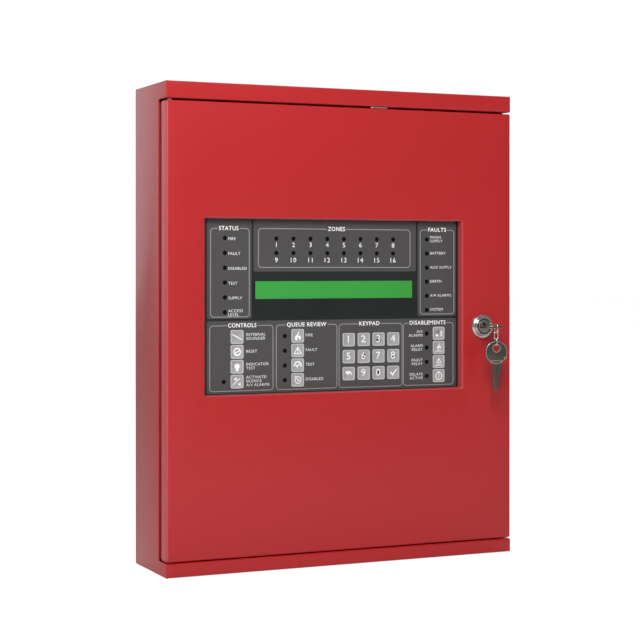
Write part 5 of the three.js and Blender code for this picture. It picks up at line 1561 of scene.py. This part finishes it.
fuse.make(replaces=["fuse_holder"])

earth_x, earth_y, earth_z = span("earth_stud")
earth_mid = (middle(earth_x), 0, middle(earth_z))
earth = Piece("earth_stud_turned", "cabinet", "zinc_steel")
stud_line = [(0, earth_y[0])] + threads(2.95, earth_y[0] + 0.6, earth_y[1] - 1.2, 1.0, 0.35)
earth.add(turned(stud_line + [(2.9, earth_y[1]), (0, earth_y[1])], earth_mid, segments=24), zinc)
for back in (earth_y[1] - 1.0, earth_y[1] - 12.0):
    earth.add(slab([disc(earth_mid[0], earth_mid[2], 5.7, 6), disc(earth_mid[0], earth_mid[2],
                                                                   2.7, 20)[::-1]],
                   back - 5, back, edge=0.4, steps=2), zinc)
    washer = [disc(earth_mid[0], earth_mid[2], 6.6, 32), disc(earth_mid[0], earth_mid[2], 2.7,
                                                              20)[::-1]]
    earth.add(slab(washer, back, back + 0.9, edge=0.2, steps=2), tin)
earth.make(replaces=["earth_stud"])


# %% Batteries: a case, a glued lid, a band and two tabs
def battery(node):
    """A sealed battery: case and lid with a seam between, a plain band round the middle,
    and a red and a black terminal at the top."""
    xs, ys, zs = span(node)
    top = zs[1] - 6
    cell = Piece(f"{node}_case", "cabinet", "battery_case")
    body_z, lid_z = (zs[0], top - 17), (top - 16.4, top)
    for part_z, margin in ((body_z, 0.0), (lid_z, 0.0), ((top - 17.4, top - 16), 0.7)):
        outline = span_rectangle((xs[0] + margin, xs[1] - margin),
                                 (ys[0] + margin, ys[1] - margin), 2.2)
        cell.add(slab([outline], *part_z, edge=0.7 if margin == 0 else 0, plane="xy"),
                 battery_plastic)
    crate(cell, (xs[0] + 12, xs[1] - 12), (ys[0] - 0.02, ys[0] + 0.4), (zs[0] + 22, zs[0] + 58),
          battery_band, 0.1, 1.5)
    for x in np.linspace(xs[0] + 34, xs[1] - 34, 6):
        cell.add(turned([(0, top + 0.02), (5.2, top + 0.02), (5.2, top + 0.5), (4.6, top + 0.8),
                         (0, top + 0.8)], (x, middle(ys), 0), axis="z", segments=24),
                 battery_plastic)
    for x, look in ((xs[0] + 12, cable_red), (xs[1] - 12, cable_black)):
        cell.add(slab([rectangle(x, ys[0] + 12.5, 13, 15, 1.2)], top - 0.2, top + 0.9, edge=0.3,
                      plane="xy", steps=2), look)
        cell.add(slab([rectangle(x, top + 2.9, 6.2, 6.0, 0.8)], ys[0] + 12.1, ys[0] + 12.9,
                      edge=0.15, steps=2), tin)
    cell.make(replaces=[node])


for name in ("battery_left", "battery_right"):
    battery(name)

# %% Behind the fascia: parts on the display board and the sounder
rear_face = span("display_board")[1][1]
back_parts = Piece("display_board_parts", "door", "black_plastic")
chip(back_parts, -40, 60, 20, 20, rear_face, legs=12, out=1)
chip(back_parts, 0, 62, 16, 8, rear_face, out=1)
chip(back_parts, -86, 58, 16, 8, rear_face, out=1)
for x in np.linspace(-110, 100, 15):
    crate(back_parts, centred(x, 2.2), (rear_face, rear_face + 0.7), centred(24, 1.3), tin, 0.1)
    crate(back_parts, centred(x, 1.3), (rear_face, rear_face + 0.7), centred(-34, 2.2),
          black_plastic, 0.1)
crate(back_parts, centred(-8, 52), (rear_face, rear_face + 7), centred(2, 8), black_plastic, 0.3)
for i in range(17):
    crate(back_parts, centred(-32 + 3 * i, 1.0), (rear_face + 6.9, rear_face + 7.3),
          centred(2, 4.5), tin, 0.05)
can(back_parts, 92, -30, 4, 8, rear_face, out=1)
can(back_parts, 78, -30, 4, 8, rear_face, out=1)
pillar_x = (opening_x[1] - opening_x[0]) / 2 - 9.5
pillar_z = (opening_z[1] - opening_z[0]) / 2 - 9.5
for sx in (-1, 0, 1):
    for sz in (-1, 1):
        screw_head(back_parts, fascia_x + sx * pillar_x, fascia_z + sz * pillar_z, 2.9, 1.6,
                   rear_face, up=1)
back_parts.make()

buzzer_x, buzzer_y, buzzer_z = span("internal_sounder")
buzzer_mid = (middle(buzzer_x), 0, middle(buzzer_z))
buzzer = Piece("sounder_can", "door", "black_plastic")
grille = buzzer_y[1]
buzzer.add(turned([(0, buzzer_y[0] + 0.02), (11.9, buzzer_y[0] + 0.02), (11.9, grille - 1.2),
                   (11.6, grille - 0.4), (10.9, grille), (2.2, grille), (2.0, grille - 0.2),
                   (1.9, grille - 2.5), (0, grille - 2.5)], buzzer_mid, segments=56),
           black_plastic)
buzzer.make(replaces=["internal_sounder"])

# %% Stud nuts that hold the fascia plate to the door
nuts = Piece("fascia_nuts", "door", "zinc_steel")
for x, z in stud_places:
    nuts.add(slab([disc(x, z, 3.1, 6), disc(x, z, 1.45, 16)[::-1]], plate_rear + 0.02,
                  plate_rear + 2.4, edge=0.25, steps=2), zinc)
nuts.make()

# %% Battery leads: round wires carried along smooth lines


def lead(points, radius, sides=10, steps=8):
    """A wire through points: a Catmull-Rom line, and round it a circle in the plane of
    its two side directions, along x Y and (along x Y) x along."""
    p = np.array(points, float)
    p = np.vstack([2 * p[0] - p[1], p, 2 * p[-1] - p[-2]])
    line = np.vstack([cubics(*(p[k:len(p) - 3 + k] for k in range(4)), steps), p[-2]])
    along = np.gradient(line, axis=0)
    along = along / np.linalg.norm(along, axis=1)[:, None]
    across = np.cross(along, (0, 1.0, 0))
    across = across / np.linalg.norm(across, axis=1)[:, None]
    other = np.cross(across, along)
    s = np.arange(sides) / sides * 2 * math.pi
    rings = line[:, None] + radius * (np.cos(s)[None, :, None] * across[:, None]
                                      + np.sin(s)[None, :, None] * other[:, None])
    return capped(list(rings))


cell_y = span("battery_left")[1][0] + 12.5
tab_z = span("battery_left")[2][1] - 3.5
tab_x = span("battery_right")[0][1] - 12
tab_in = span("battery_right")[0][0] + 12
LEAD_RADIUS = 1.6
leads = Piece("battery_leads", "cabinet", "black_plastic")
leads.add(lead([(-tab_x, cell_y, tab_z), (-tab_x + 3, cell_y - 2, tab_z + 7),
                (-tab_x + 30, cell_y - 3, tab_z + 10), (0, cell_y - 3, tab_z + 9),
                (100, cell_y - 3, tab_z + 10), (143, cell_y + 4, tab_z + 20),
                (149, cell_y + 17, -60), (146, cell_y + 22, -30), (127, cell_y + 24, -26)],
               LEAD_RADIUS), cable_red)
leads.add(lead([(tab_x, cell_y, tab_z), (tab_x + 6, cell_y + 2, tab_z + 14),
                (153, cell_y + 12, -70), (150, cell_y + 22, -38), (127, cell_y + 24, -34.6)],
               LEAD_RADIUS), cable_black)
leads.add(lead([(-tab_in, cell_y, tab_z), (-tab_in + 4, cell_y - 1, tab_z + 5),
                (0, cell_y - 2, tab_z + 7), (tab_in - 4, cell_y - 1, tab_z + 5),
                (tab_in, cell_y, tab_z)], LEAD_RADIUS), cable_black)
for x in (-tab_x, -tab_in, tab_in, tab_x):
    crate(leads, centred(x, 7.4), (cell_y - 1.9, cell_y + 1.9), (tab_z - 3.6, tab_z + 4.4),
          cable_red if x in (-tab_x, tab_in) else cable_black, 0.6)
leads.make(smooth=50)
print("leads", len(leads.faces))

# %% [markdown]
# ## Measure and finish
# The box of the frame's parts, measured when the frame is loaded, is printed.

# %% The size of the frame's box
print("frame box", [round(v, 4) for corner in cad_bounds for v in corner])
